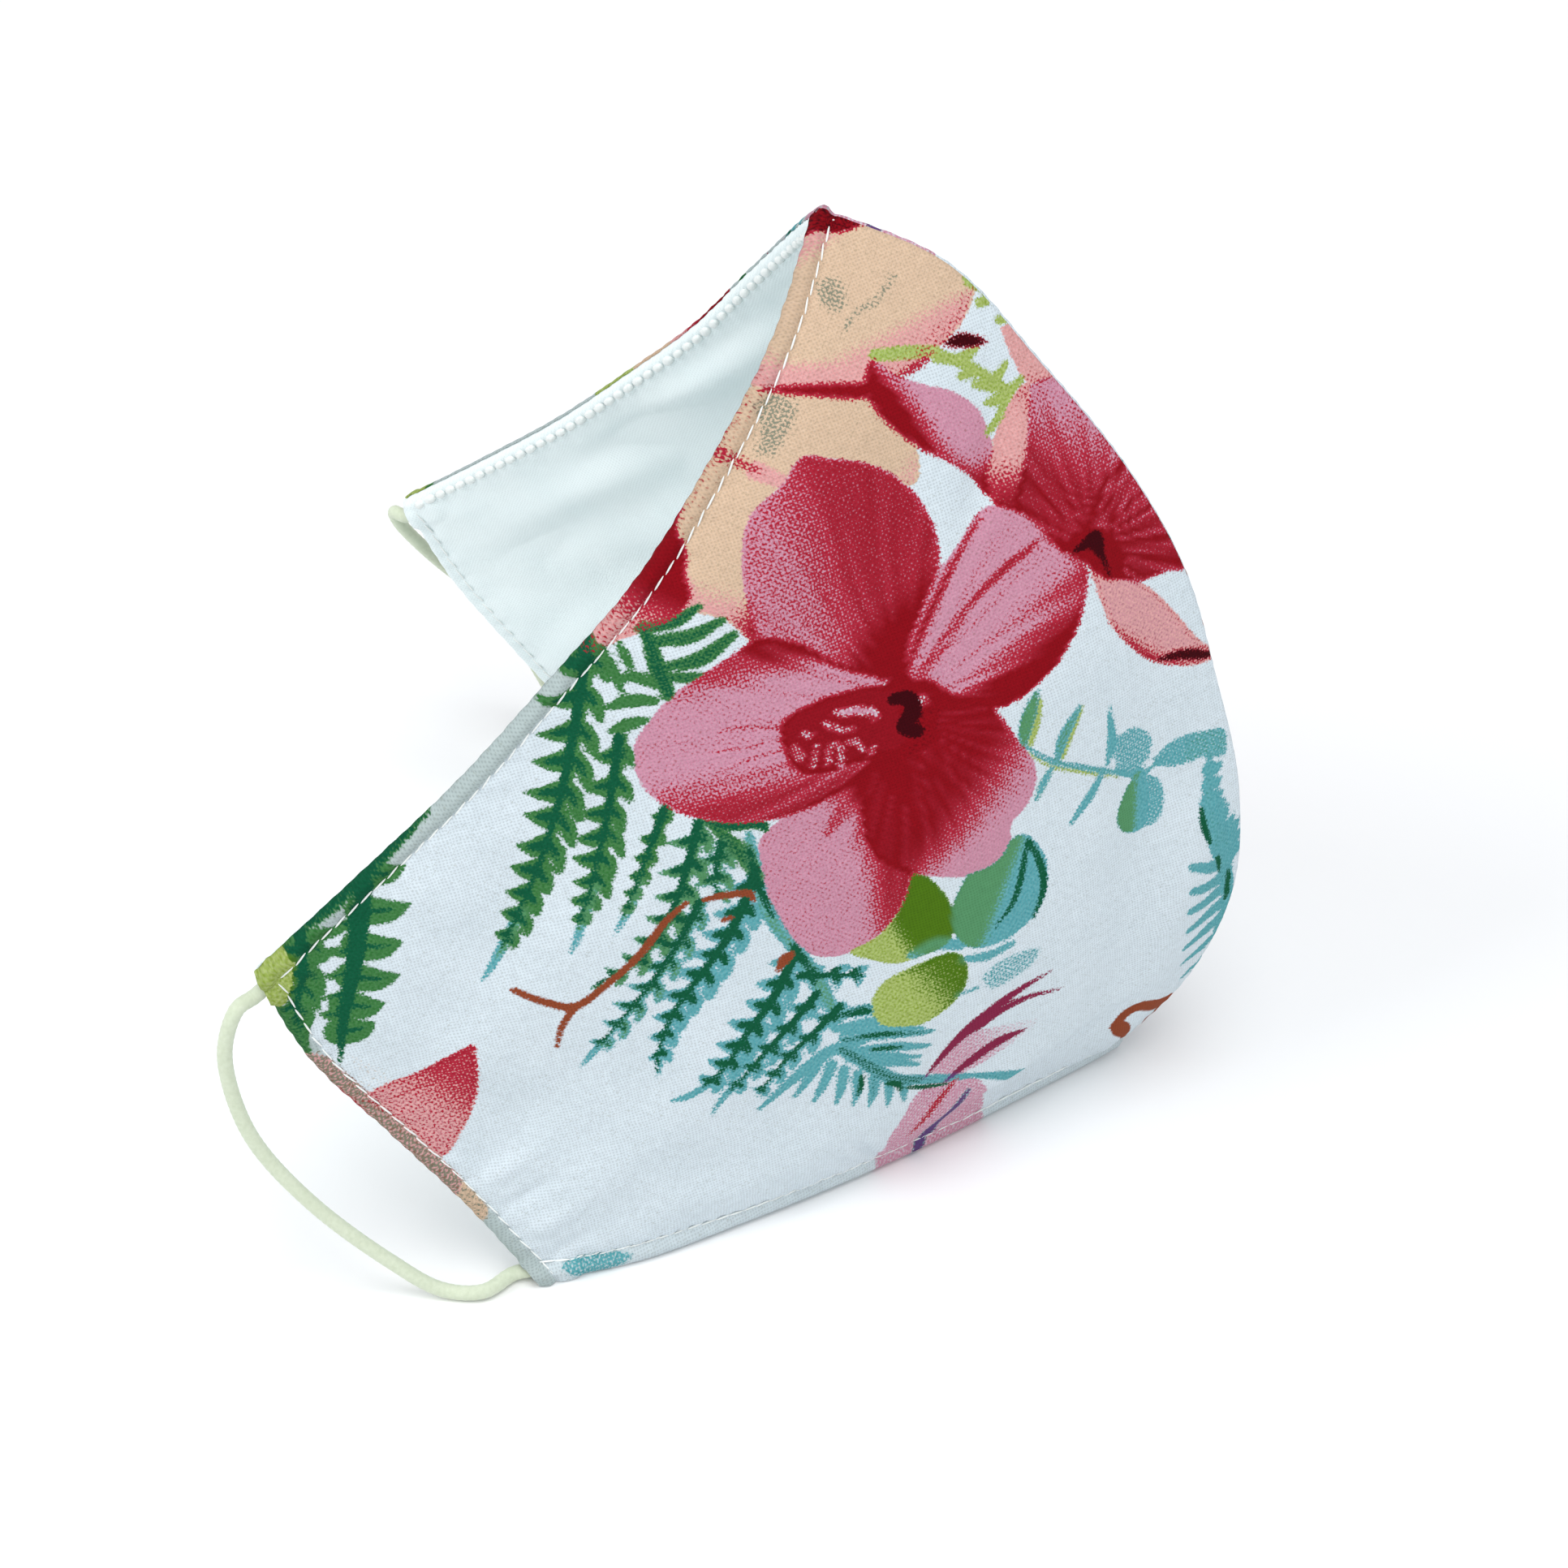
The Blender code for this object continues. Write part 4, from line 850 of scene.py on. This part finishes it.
def inkFields(flat, layout):
    rng = np.random.default_rng(printSpread["seed"])
    fields = {ink: np.zeros(len(flat)) for ink in inkOrder}
    soft = printSpread["softEdge"]

    def press(inks, x, y, inside, where, clears):
        mask = np.clip(0.5 + inside / (2 * soft), 0, 1)
        for ink in inkOrder:
            held = fields[ink][where]
            if clears:
                tone = toneAt(inks[ink], x, y, inside) if ink in inks else 0.0
                left = held * (1 - np.clip(1.6 * mask - 0.6, 0, 1))  # the inks overlap a little at an edge
                fields[ink][where] = np.minimum(left + tone * np.clip(1.6 * mask, 0, 1), 1)
            elif ink in inks:
                fields[ink][where] = np.maximum(held, toneAt(inks[ink], x, y, inside) * mask)

    def pressFrond(inks, lx, ly, leaflets, stem):
        wide = {ink: tone for ink, tone in inks.items() if ink != "deep"}
        for stroke in leaflets + [stem]:
            s = np.array(stroke)
            where = nearShape(lx, ly, s, s[:, 2].max() + soft)
            if not len(where):
                continue
            x, y = lx[where], ly[where]
            press(wide, x, y, strokeDistance(x, y, stroke), where, False)
            if "deep" in inks:  # a dark rib a little to one side
                share = 0.72 if stroke is stem else inks["deep"]
                rib = [(p[0] - 0.22, p[1] + 0.16, p[2] * share) for p in stroke[:-1]]
                rib.append((*(0.55 * s[-2, :2] + 0.45 * s[-1, :2]), 0.05))
                press({"deep": .95}, x, y, strokeDistance(x, y, rib), where, False)

    for name, turn, dx, dy in layout:
        a = math.radians(-turn)
        cx, cy = layoutMiddle
        rx, ry = flat[:, 0] - cx - dx, flat[:, 1] - cy - dy
        lx, ly = rx * math.cos(a) - ry * math.sin(a) + cx, rx * math.sin(a) + ry * math.cos(a) + cy
        for shape, inks, *outlines in motifs[name]:
            if shape == "frond":
                pressFrond(inks, lx, ly, *leafletsOf(*outlines, rng))
                continue
            for points in outlines:
                s = np.array(points, float)
                where = nearShape(lx, ly, s, 1.5 + soft + (s[:, 2].max() if s.shape[1] == 3 else 0))
                if not len(where):
                    continue
                x, y = lx[where], ly[where]
                measure = insideDistance if shape in ("patch", "tint") else strokeDistance
                press(inks, x, y, measure(x, y, points), where, shape in ("patch", "line"))
    return fields


def writeInks(piece, fields):
    mesh = piece.data
    for k in range(0, len(inkOrder), 3):
        layer = mesh.attributes.new("inks" + "ABCD"[k // 3], "FLOAT_COLOR", "POINT")
        colour = np.ones((len(mesh.vertices), 4), np.float32)
        for j in range(3):
            colour[:, j] = np.clip(fields[inkOrder[k + j]], 0, 1)
        layer.data.foreach_set("color", colour.ravel())


def writeMarginShade(piece, flatOfVertex):  # 1 on the bare cloth outside the stitches, where painted shade darkens the hem as it rolls away from the light
    away = fromEdges(flatOfVertex)
    value = np.zeros(len(flatOfVertex))
    for name, inset in halfForm["stitchIn"].items():
        full = 0.3 if name == "hem" else 1.0
        value = np.maximum(value, np.clip((inset + 0.2 - away[name][0]) / 0.6, 0, 1) * full)
    layer = piece.data.attributes.new("margin", "FLOAT", "POINT")
    layer.data.foreach_set("value", value.astype(np.float32))


def writeCutMap(piece, flatOfVertex):  # the flat cut as UV, one unit to 100 mm
    mesh = piece.data
    uvLayer = mesh.uv_layers.new(name="cutMap")
    corner = np.empty(len(mesh.loops), np.int32)
    mesh.loops.foreach_get("vertex_index", corner)
    places = flatOfVertex[corner] * 0.01 + np.array([1.5, 0.05])
    uvLayer.data.foreach_set("uv", np.ascontiguousarray(places, np.float32).ravel())


halves = {}
for word, side in (("right", 1), ("left", -1)):
    for kind in ("outer", "lining"):
        u, v = halfNet(halfForm[kind + "Columns"], halfForm[kind + "Rows"])
        flat = flatAt(u, v)
        called = ("outer_" if kind == "outer" else "liningCloth_") + word
        piece, row, column = gridPiece(called, surfaceAt(kind, side, u, v))
        middleFace = np.array(piece.data.polygons[len(piece.data.polygons) // 2].normal)
        away = outwardAt(np.array([0.5]), np.array([0.5]))[0] * np.array([-side, -1, 1])
        if (middleFace @ away < 0) == (kind == "outer"):
            piece.data.flip_normals()
        flatOfVertex = flat[row, column]
        for old in list(piece.data.uv_layers):
            piece.data.uv_layers.remove(old)
        writeCutMap(piece, flatOfVertex)
        writeMarginShade(piece, flatOfVertex)
        if kind == "outer":
            writeInks(piece, inkFields(flatOfVertex, nearLayout if side == 1 else farLayout))
        selectOnly(piece)
        solid = piece.modifiers.new("wall", "SOLIDIFY")
        solid.thickness = halfForm[kind + "Wall"] * mm
        solid.offset = -1.0
        bpy.ops.object.modifier_apply(modifier=solid.name)
        bpy.ops.object.shade_smooth()
        for vertex in piece.data.vertices:
            if vertex.co.z < 0:
                vertex.co.z = 0
        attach(piece, "root")
        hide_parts(("outer_panel_" if kind == "outer" else "lining_") + word)
        halves[kind, word] = piece
        print(piece.name, len(piece.data.polygons), "faces")


# Topstitching.
stitchForm = {
    "fine": {"length": 2.5, "width": 0.31, "height": 0.32, "lift": 0.07, "turn": 6.0},
    "padded": {"length": 2.2, "width": 1.5, "height": 1.1, "lift": 0.1, "turn": 4.0},
}


def stitchLine(kind, side, name, inset, pitch):
    share = np.linspace(0.0, 1.0, 241)
    u = np.full(241, 0.97) if name == "ear" else share
    v = share if name == "ear" else np.full(241, 0.97 if name == "nose" else 0.03)
    for _ in range(5):  # walks the line to its distance from the edge
        step = (fromEdges(flatAt(u, v))[name][0] - inset) / 120.0
        if name == "ear":
            u = np.clip(u + step, 0, 1)
        else:
            v = np.clip(v + step if name == "nose" else v - step, 0, 1)
    line = surfaceAt(kind, side, u, v)
    e = 0.004
    uLow, uHigh, vLow, vHigh = (np.clip(k, 0, 1) for k in (u - e, u + e, v - e, v + e))
    across = np.cross(surfaceAt(kind, side, uHigh, v) - surfaceAt(kind, side, uLow, v),
                      surfaceAt(kind, side, u, vHigh) - surfaceAt(kind, side, u, vLow))
    across /= np.linalg.norm(across, axis=1, keepdims=True)
    wanted = outwardAt(u, v) * np.array([-side, -1, 1]) * (1 if kind == "outer" else -1)
    across *= np.sign((across * wanted).sum(1))[:, None]
    run = np.concatenate([[0], np.cumsum(np.linalg.norm(np.diff(line, axis=0), axis=1))]) / mm
    half = halves[kind, "right" if side > 0 else "left"]
    cloth = BVHTree.FromObject(half, bpy.context.evaluated_depsgraph_get())

    def onCloth(s):
        place = Vector([np.interp(s, run, line[:, k]) for k in range(3)])
        out = Vector([np.interp(s, run, across[:, k]) for k in range(3)])
        hit = cloth.ray_cast(place + out * 0.002, -out, 0.004)[0]
        return (hit or place), out

    reach = 0.5 * stitchForm["fine"]["length"]
    first = 1.4 if name == "nose" else 3.6
    return [(onCloth(s - reach)[0], *onCloth(s), onCloth(s + reach)[0])
            for s in np.arange(first, run[-1] - 3.6, pitch)]


def sewStitches(name, rows, seed):
    rng = np.random.default_rng(seed)
    bpy.ops.object.select_all(action="DESELECT")
    bpy.ops.mesh.primitive_uv_sphere_add(segments=8, ring_count=6, radius=0.5, location=(0, 0, 0),
                                         rotation=(0, math.pi / 2, 0))
    pattern = bpy.context.object
    bpy.ops.object.transform_apply(location=False, rotation=True, scale=False)
    for vertex in pattern.data.vertices:  # blunt ends, like a pulled thread
        vertex.co.x = math.copysign(min(abs(vertex.co.x) * 2, 1) ** 0.75, vertex.co.x) * 0.5
    copies = []
    for word, spots in rows:
        form = stitchForm[word]
        for start, middle, away, end in spots:
            x = (end - start).normalized()
            y = away.cross(x).normalized()
            z = x.cross(y)
            turn = Matrix.Rotation(math.radians(form["turn"] + rng.uniform(-5, 5)), 3, z)
            axes = Matrix((turn @ x, turn @ y, z)).transposed().to_4x4()
            size = Matrix.Diagonal((form["length"] * mm * rng.uniform(0.92, 1.05),
                                    form["width"] * mm * rng.uniform(0.9, 1.1), form["height"] * mm, 1))
            high = max(0.0, (middle - 0.5 * (start + end)).dot(z))
            place = Matrix.Translation(0.5 * (start + end) + z * (form["lift"] * mm + 0.5 * high))
            twin = pattern.copy()
            twin.data = pattern.data.copy()
            twin.data.transform(place @ axes @ size)
            bpy.context.scene.collection.objects.link(twin)
            copies.append(twin)
    bpy.data.objects.remove(pattern, do_unlink=True)
    bpy.ops.object.select_all(action="DESELECT")
    for twin in copies:
        twin.select_set(True)
    bpy.context.view_layer.objects.active = copies[0]
    bpy.ops.object.join()
    row = bpy.context.object
    row.name = row.data.name = name
    bpy.ops.object.shade_smooth()
    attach(row, "root")
    return row


stitches = []
for word, side in (("right", 1), ("left", -1)):
    for kind in ("outer", "lining"):
        rows = []
        for name in ("nose", "ear", "hem"):
            line = stitchLine(kind, side, name, stitchInset(kind, name), halfForm["stitchPitch"][name])
            rows.append(("padded" if kind == "lining" and name == "nose" else "fine", line))
        sewn = sewStitches("stitches_" + kind + "_" + word, rows, 21 + side)
        stitches.append(sewn)
        print(sewn.name, sum(len(spots) for _, spots in rows), "stitches")

# Finishes.
def toLinear(colour):
    shares = [c / 255 for c in colour]
    return tuple(c / 12.92 if c <= 0.04045 else ((c + 0.055) / 1.055) ** 2.4 for c in shares)


class Nodes:  # small helper that adds and joins shader nodes
    def __init__(self, name):
        self.material = bpy.data.materials.new(name)
        self.material.use_nodes = True
        self.tree = self.material.node_tree
        self.shader = self.tree.nodes["Principled BSDF"]

    def add(self, kind, **values):
        node = self.tree.nodes.new(kind)
        for key, value in values.items():
            setattr(node, key, value)
        return node

    def join(self, out, into):
        self.tree.links.new(out, into)

    def math(self, operation, a, b=None, c=None, clamp=False):
        node = self.add("ShaderNodeMath", operation=operation, use_clamp=clamp)
        for socket, value in zip(node.inputs, (a, b, c)):
            if value is None:
                continue
            if isinstance(value, (int, float)):
                socket.default_value = value
            else:
                self.join(value, socket)
        return node.outputs[0]

    def blend(self, factor, a, b, mode="MIX"):
        node = self.add("ShaderNodeMix", data_type="RGBA", blend_type=mode)
        for socket, value in ((node.inputs[0], factor), (node.inputs[6], a), (node.inputs[7], b)):
            if isinstance(value, (int, float)):
                socket.default_value = value
            elif isinstance(value, tuple):
                socket.default_value = (*value, 1)
            else:
                self.join(value, socket)
        return node.outputs[2]

    def noise(self, where, scale, detail=2.0, rough=0.5):
        node = self.add("ShaderNodeTexNoise")
        node.inputs["Scale"].default_value = scale
        node.inputs["Detail"].default_value = detail
        node.inputs["Roughness"].default_value = rough
        self.join(where, node.inputs["Vector"])
        return node.outputs["Fac"]

    def shaded(self, colour, shade):
        gray = self.add("ShaderNodeCombineColor")
        for socket in gray.inputs[:3]:
            self.join(shade, socket)
        return self.blend(1.0, colour, gray.outputs[0], "MULTIPLY")

    def bump(self, height, strength, distance):
        node = self.add("ShaderNodeBump")
        node.inputs["Strength"].default_value = strength
        node.inputs["Distance"].default_value = distance
        self.join(height, node.inputs["Height"])
        self.join(node.outputs["Normal"], self.shader.inputs["Normal"])

    def finish(self, **values):
        for key, value in values.items():
            self.shader.inputs[key.replace("_", " ")].default_value = value
        return self.material


weave = {"print": {"pitch": 0.46, "turn": -12.0}, "lining": {"pitch": 0.42, "turn": 20.0}}  # pitch in mm


def weaveOf(n, pitch, turn):  # two sets of threads over the cut map: the place, their crossings and the gaps
    uv = n.add("ShaderNodeUVMap", uv_map="cutMap").outputs["UV"]
    mapping = n.add("ShaderNodeMapping")
    mapping.inputs["Rotation"].default_value = (0, 0, math.radians(turn))
    mapping.inputs["Scale"].default_value = (100 / pitch,) * 3
    n.join(uv, mapping.inputs["Vector"])
    wobble = n.noise(mapping.outputs["Vector"], 0.12, 2.0)
    split = n.add("ShaderNodeSeparateXYZ")
    n.join(mapping.outputs["Vector"], split.inputs[0])
    x = n.math("ADD", split.outputs[0], n.math("MULTIPLY", wobble, 1.6))
    y = n.math("ADD", split.outputs[1], n.math("MULTIPLY", wobble, -1.3))
    warp = n.math("SINE", n.math("MULTIPLY", x, 2 * math.pi))
    weft = n.math("SINE", n.math("MULTIPLY", y, 2 * math.pi))
    cross = n.math("MULTIPLY", n.math("SINE", n.math("MULTIPLY", x, math.pi)),
                   n.math("SINE", n.math("MULTIPLY", y, math.pi)))
    gap = n.math("MULTIPLY", n.math("MULTIPLY_ADD", warp, 0.5, 0.5), n.math("MULTIPLY_ADD", weft, 0.5, 0.5))
    return mapping.outputs["Vector"], cross, gap


# How much of an ink is left on the threads that take least, and how deep it is on those that take most.
inkTints = {"pink": (0.78, 0.96), "salmon": (0.78, 0.95), "peach": (0.88, 0.96), "crimson": (0.90, 0.94),
            "lime": (0.62, 0.88), "teal": (0.76, 0.95), "green": (0.84, 0.92), "deep": (0.94, 0.96)}
# How unevenly the threads take each ink.
inkGrain = {"peach": .3, "salmon": .5, "pink": .4, "grey": 1.1, "lime": .5, "teal": .5, "green": .4,
            "deep": .4, "brown": .3, "plum": .5, "crimson": .74, "dark": .4}


def printMaterial():
    n = Nodes("printedCotton")
    where, cross, gap = weaveOf(n, **weave["print"])
    grain = n.noise(where, 1.15, 1.0)
    slow = n.noise(where, 0.045, 2.0)
    # the threads take ink unevenly: a value about one half that is thin on the gaps
    take = n.math("ADD", n.math("MULTIPLY_ADD", grain, 1.7, -0.52), n.math("MULTIPLY", gap, 0.6))
    take = n.math("ADD", take, n.math("MULTIPLY", cross, 0.2), clamp=True)
    take = n.math("MULTIPLY_ADD", take, 0.84, 0.08)
    ground = n.blend(n.math("MULTIPLY", slow, 0.8), toLinear((213, 223, 229)), toLinear((200, 212, 218)))
    # painted shade: the bare cloth outside the stitches turns grey where the hem rolls away from the light
    margin = n.add("ShaderNodeAttribute", attribute_name="margin").outputs["Fac"]
    colour, under = n.blend(margin, ground, toLinear(hemShadeColour)), {}
    for k in range(0, len(inkOrder), 3):
        layer = n.add("ShaderNodeAttribute", attribute_name="inks" + "ABCD"[k // 3])
        split = n.add("ShaderNodeSeparateColor")
        n.join(layer.outputs["Color"], split.inputs[0])
        for j in range(3):
            ink = inkOrder[k + j]
            uneven = inkGrain[ink]
            limit = n.math("MULTIPLY_ADD", take, uneven, 0.5 - 0.5 * uneven)
            level = n.math("SUBTRACT", split.outputs[j], limit)
            cover = n.math("MULTIPLY_ADD", level, 4.0, 0.5, clamp=True)
            pale, full = inkTints.get(ink, (1.0, 1.0))
            tint = inkColour[ink]
            if ink in inkTints:
                light = toLinear(tuple(255 - (255 - c) * pale for c in tint))
                full = toLinear(tuple(c * full for c in tint))
                if ink in inkDepth:
                    thick = n.math("MULTIPLY_ADD", split.outputs[j], 3.4, -2.4, clamp=True)
                    full = n.blend(thick, full, toLinear(inkDepth[ink]))
                    light = n.blend(thick, light, toLinear(tuple(c * 1.12 for c in inkDepth[ink])))
                if ink in ("lime", "teal"):
                    under[ink] = split.outputs[j]
                if ink == "green":
                    for below, mixed in (("lime", olive), ("teal", jade)):
                        full = n.blend(under[below], full, toLinear(mixed))
                        light = n.blend(under[below], light, toLinear(mixed))
                tint = n.blend(take, full, light)
            elif ink == "plum":
                tint = n.blend(under["teal"], toLinear(tint), toLinear(violet))
            else:
                tint = toLinear(tint)
            colour = n.blend(cover, colour, tint)
    shade = n.math("MULTIPLY_ADD", gap, -0.26, 1.03)
    # painted shade: everything outside the stitches, the print too, a little darker again
    shade = n.math("MULTIPLY", shade, n.math("MULTIPLY_ADD", margin, -0.12, 1.0))
    shade = n.math("MULTIPLY", shade, n.math("MULTIPLY_ADD", n.noise(where, 0.4, 2.0), 0.22, 0.89))
    n.join(n.shaded(colour, shade), n.shader.inputs["Base Color"])
    n.bump(n.math("ADD", n.math("MULTIPLY", gap, -1.0), n.math("MULTIPLY", grain, 0.6)), 0.35, 0.00010)
    return n.finish(Roughness=0.88, Specular_IOR_Level=0.08)


def liningMaterial():
    n = Nodes("liningCloth")
    where, _, gap = weaveOf(n, **weave["lining"])
    slow = n.noise(where, 0.03, 2.0)
    colour = n.blend(n.math("MULTIPLY", slow, 0.9), toLinear((241, 249, 249)), toLinear((226, 239, 240)))
    n.join(n.shaded(colour, n.math("MULTIPLY_ADD", gap, -0.10, 1.0)), n.shader.inputs["Base Color"])
    n.bump(n.math("MULTIPLY", gap, -1.0), 0.35, 0.00008)
    return n.finish(Roughness=0.75, Specular_IOR_Level=0.3, Sheen_Weight=0.2, Sheen_Roughness=0.4)


def threadMaterial():
    n = Nodes("sewingThread")
    where = n.add("ShaderNodeTexCoord").outputs["Object"]
    twist = n.noise(where, 2600, 1.0)
    colour = n.blend(twist, toLinear((222, 228, 226)), toLinear((248, 250, 247)))
    n.join(colour, n.shader.inputs["Base Color"])
    return n.finish(Roughness=0.55, Sheen_Weight=0.2)


def elasticMaterial():
    n = Nodes("elasticKnit")
    where = n.add("ShaderNodeTexCoord").outputs["Object"]
    knit = n.noise(where, 1500, 1.5)
    soft = n.noise(where, 160, 2.0)
    colour = n.blend(knit, toLinear((186, 198, 168)), toLinear((214, 224, 200)))
    colour = n.blend(n.math("MULTIPLY", soft, 0.4), colour, toLinear((226, 230, 212)))
    n.join(colour, n.shader.inputs["Base Color"])
    n.bump(knit, 0.5, 0.00015)
    return n.finish(Roughness=0.8, Sheen_Weight=0.3)


def dress(piece, material):
    piece.data.materials.clear()
    piece.data.materials.append(material)


clothMaterial = {"outer": printMaterial(), "lining": liningMaterial()}
thread, knitted = threadMaterial(), elasticMaterial()
for (kind, _), piece in halves.items():
    dress(piece, clothMaterial[kind])
for piece in loops.values():
    dress(piece, knitted)
for piece in stitches:
    dress(piece, thread)
print("finishes made")

# Table and light.
bpy.ops.object.select_all(action="DESELECT")
bpy.ops.mesh.primitive_plane_add(size=6.0, location=(0, 0, 0))
table = bpy.context.object
table.name = "table"
tableCloth = Nodes("paleTable")
tableCloth.shader.inputs["Base Color"].default_value = (0.93, 0.93, 0.93, 1)
dress(table, tableCloth.finish(Roughness=0.7))

softboxes = {  # place, aim, size in metres and power in watts
    "softboxTop": ((-0.5, -0.3, 2.3), (0, 0, 0.05), 1.6, 27),
    "softboxFront": ((-1.9, -0.9, 1.5), (0, 0, 0.06), 1.4, 8),
    "softboxSide": ((-0.7, 1.7, 1.5), (0, 0, 0.06), 1.3, 17),
}
for name, (place, aim, size, power) in softboxes.items():
    lamp = bpy.data.lights.new(name, "AREA")
    lamp.shape = "DISK"
    lamp.size, lamp.energy = size, power
    light = bpy.data.objects.new(name, lamp)
    bpy.context.scene.collection.objects.link(light)
    light.location = place
    light.rotation_euler = (Vector(aim) - Vector(place)).to_track_quat("-Z", "Y").to_euler()
world = bpy.data.worlds.new("studio")
world.use_nodes = True
world.node_tree.nodes["Background"].inputs["Color"].default_value = (0.93, 0.96, 1.0, 1)
world.node_tree.nodes["Background"].inputs["Strength"].default_value = 0.58
bpy.context.scene.world = world
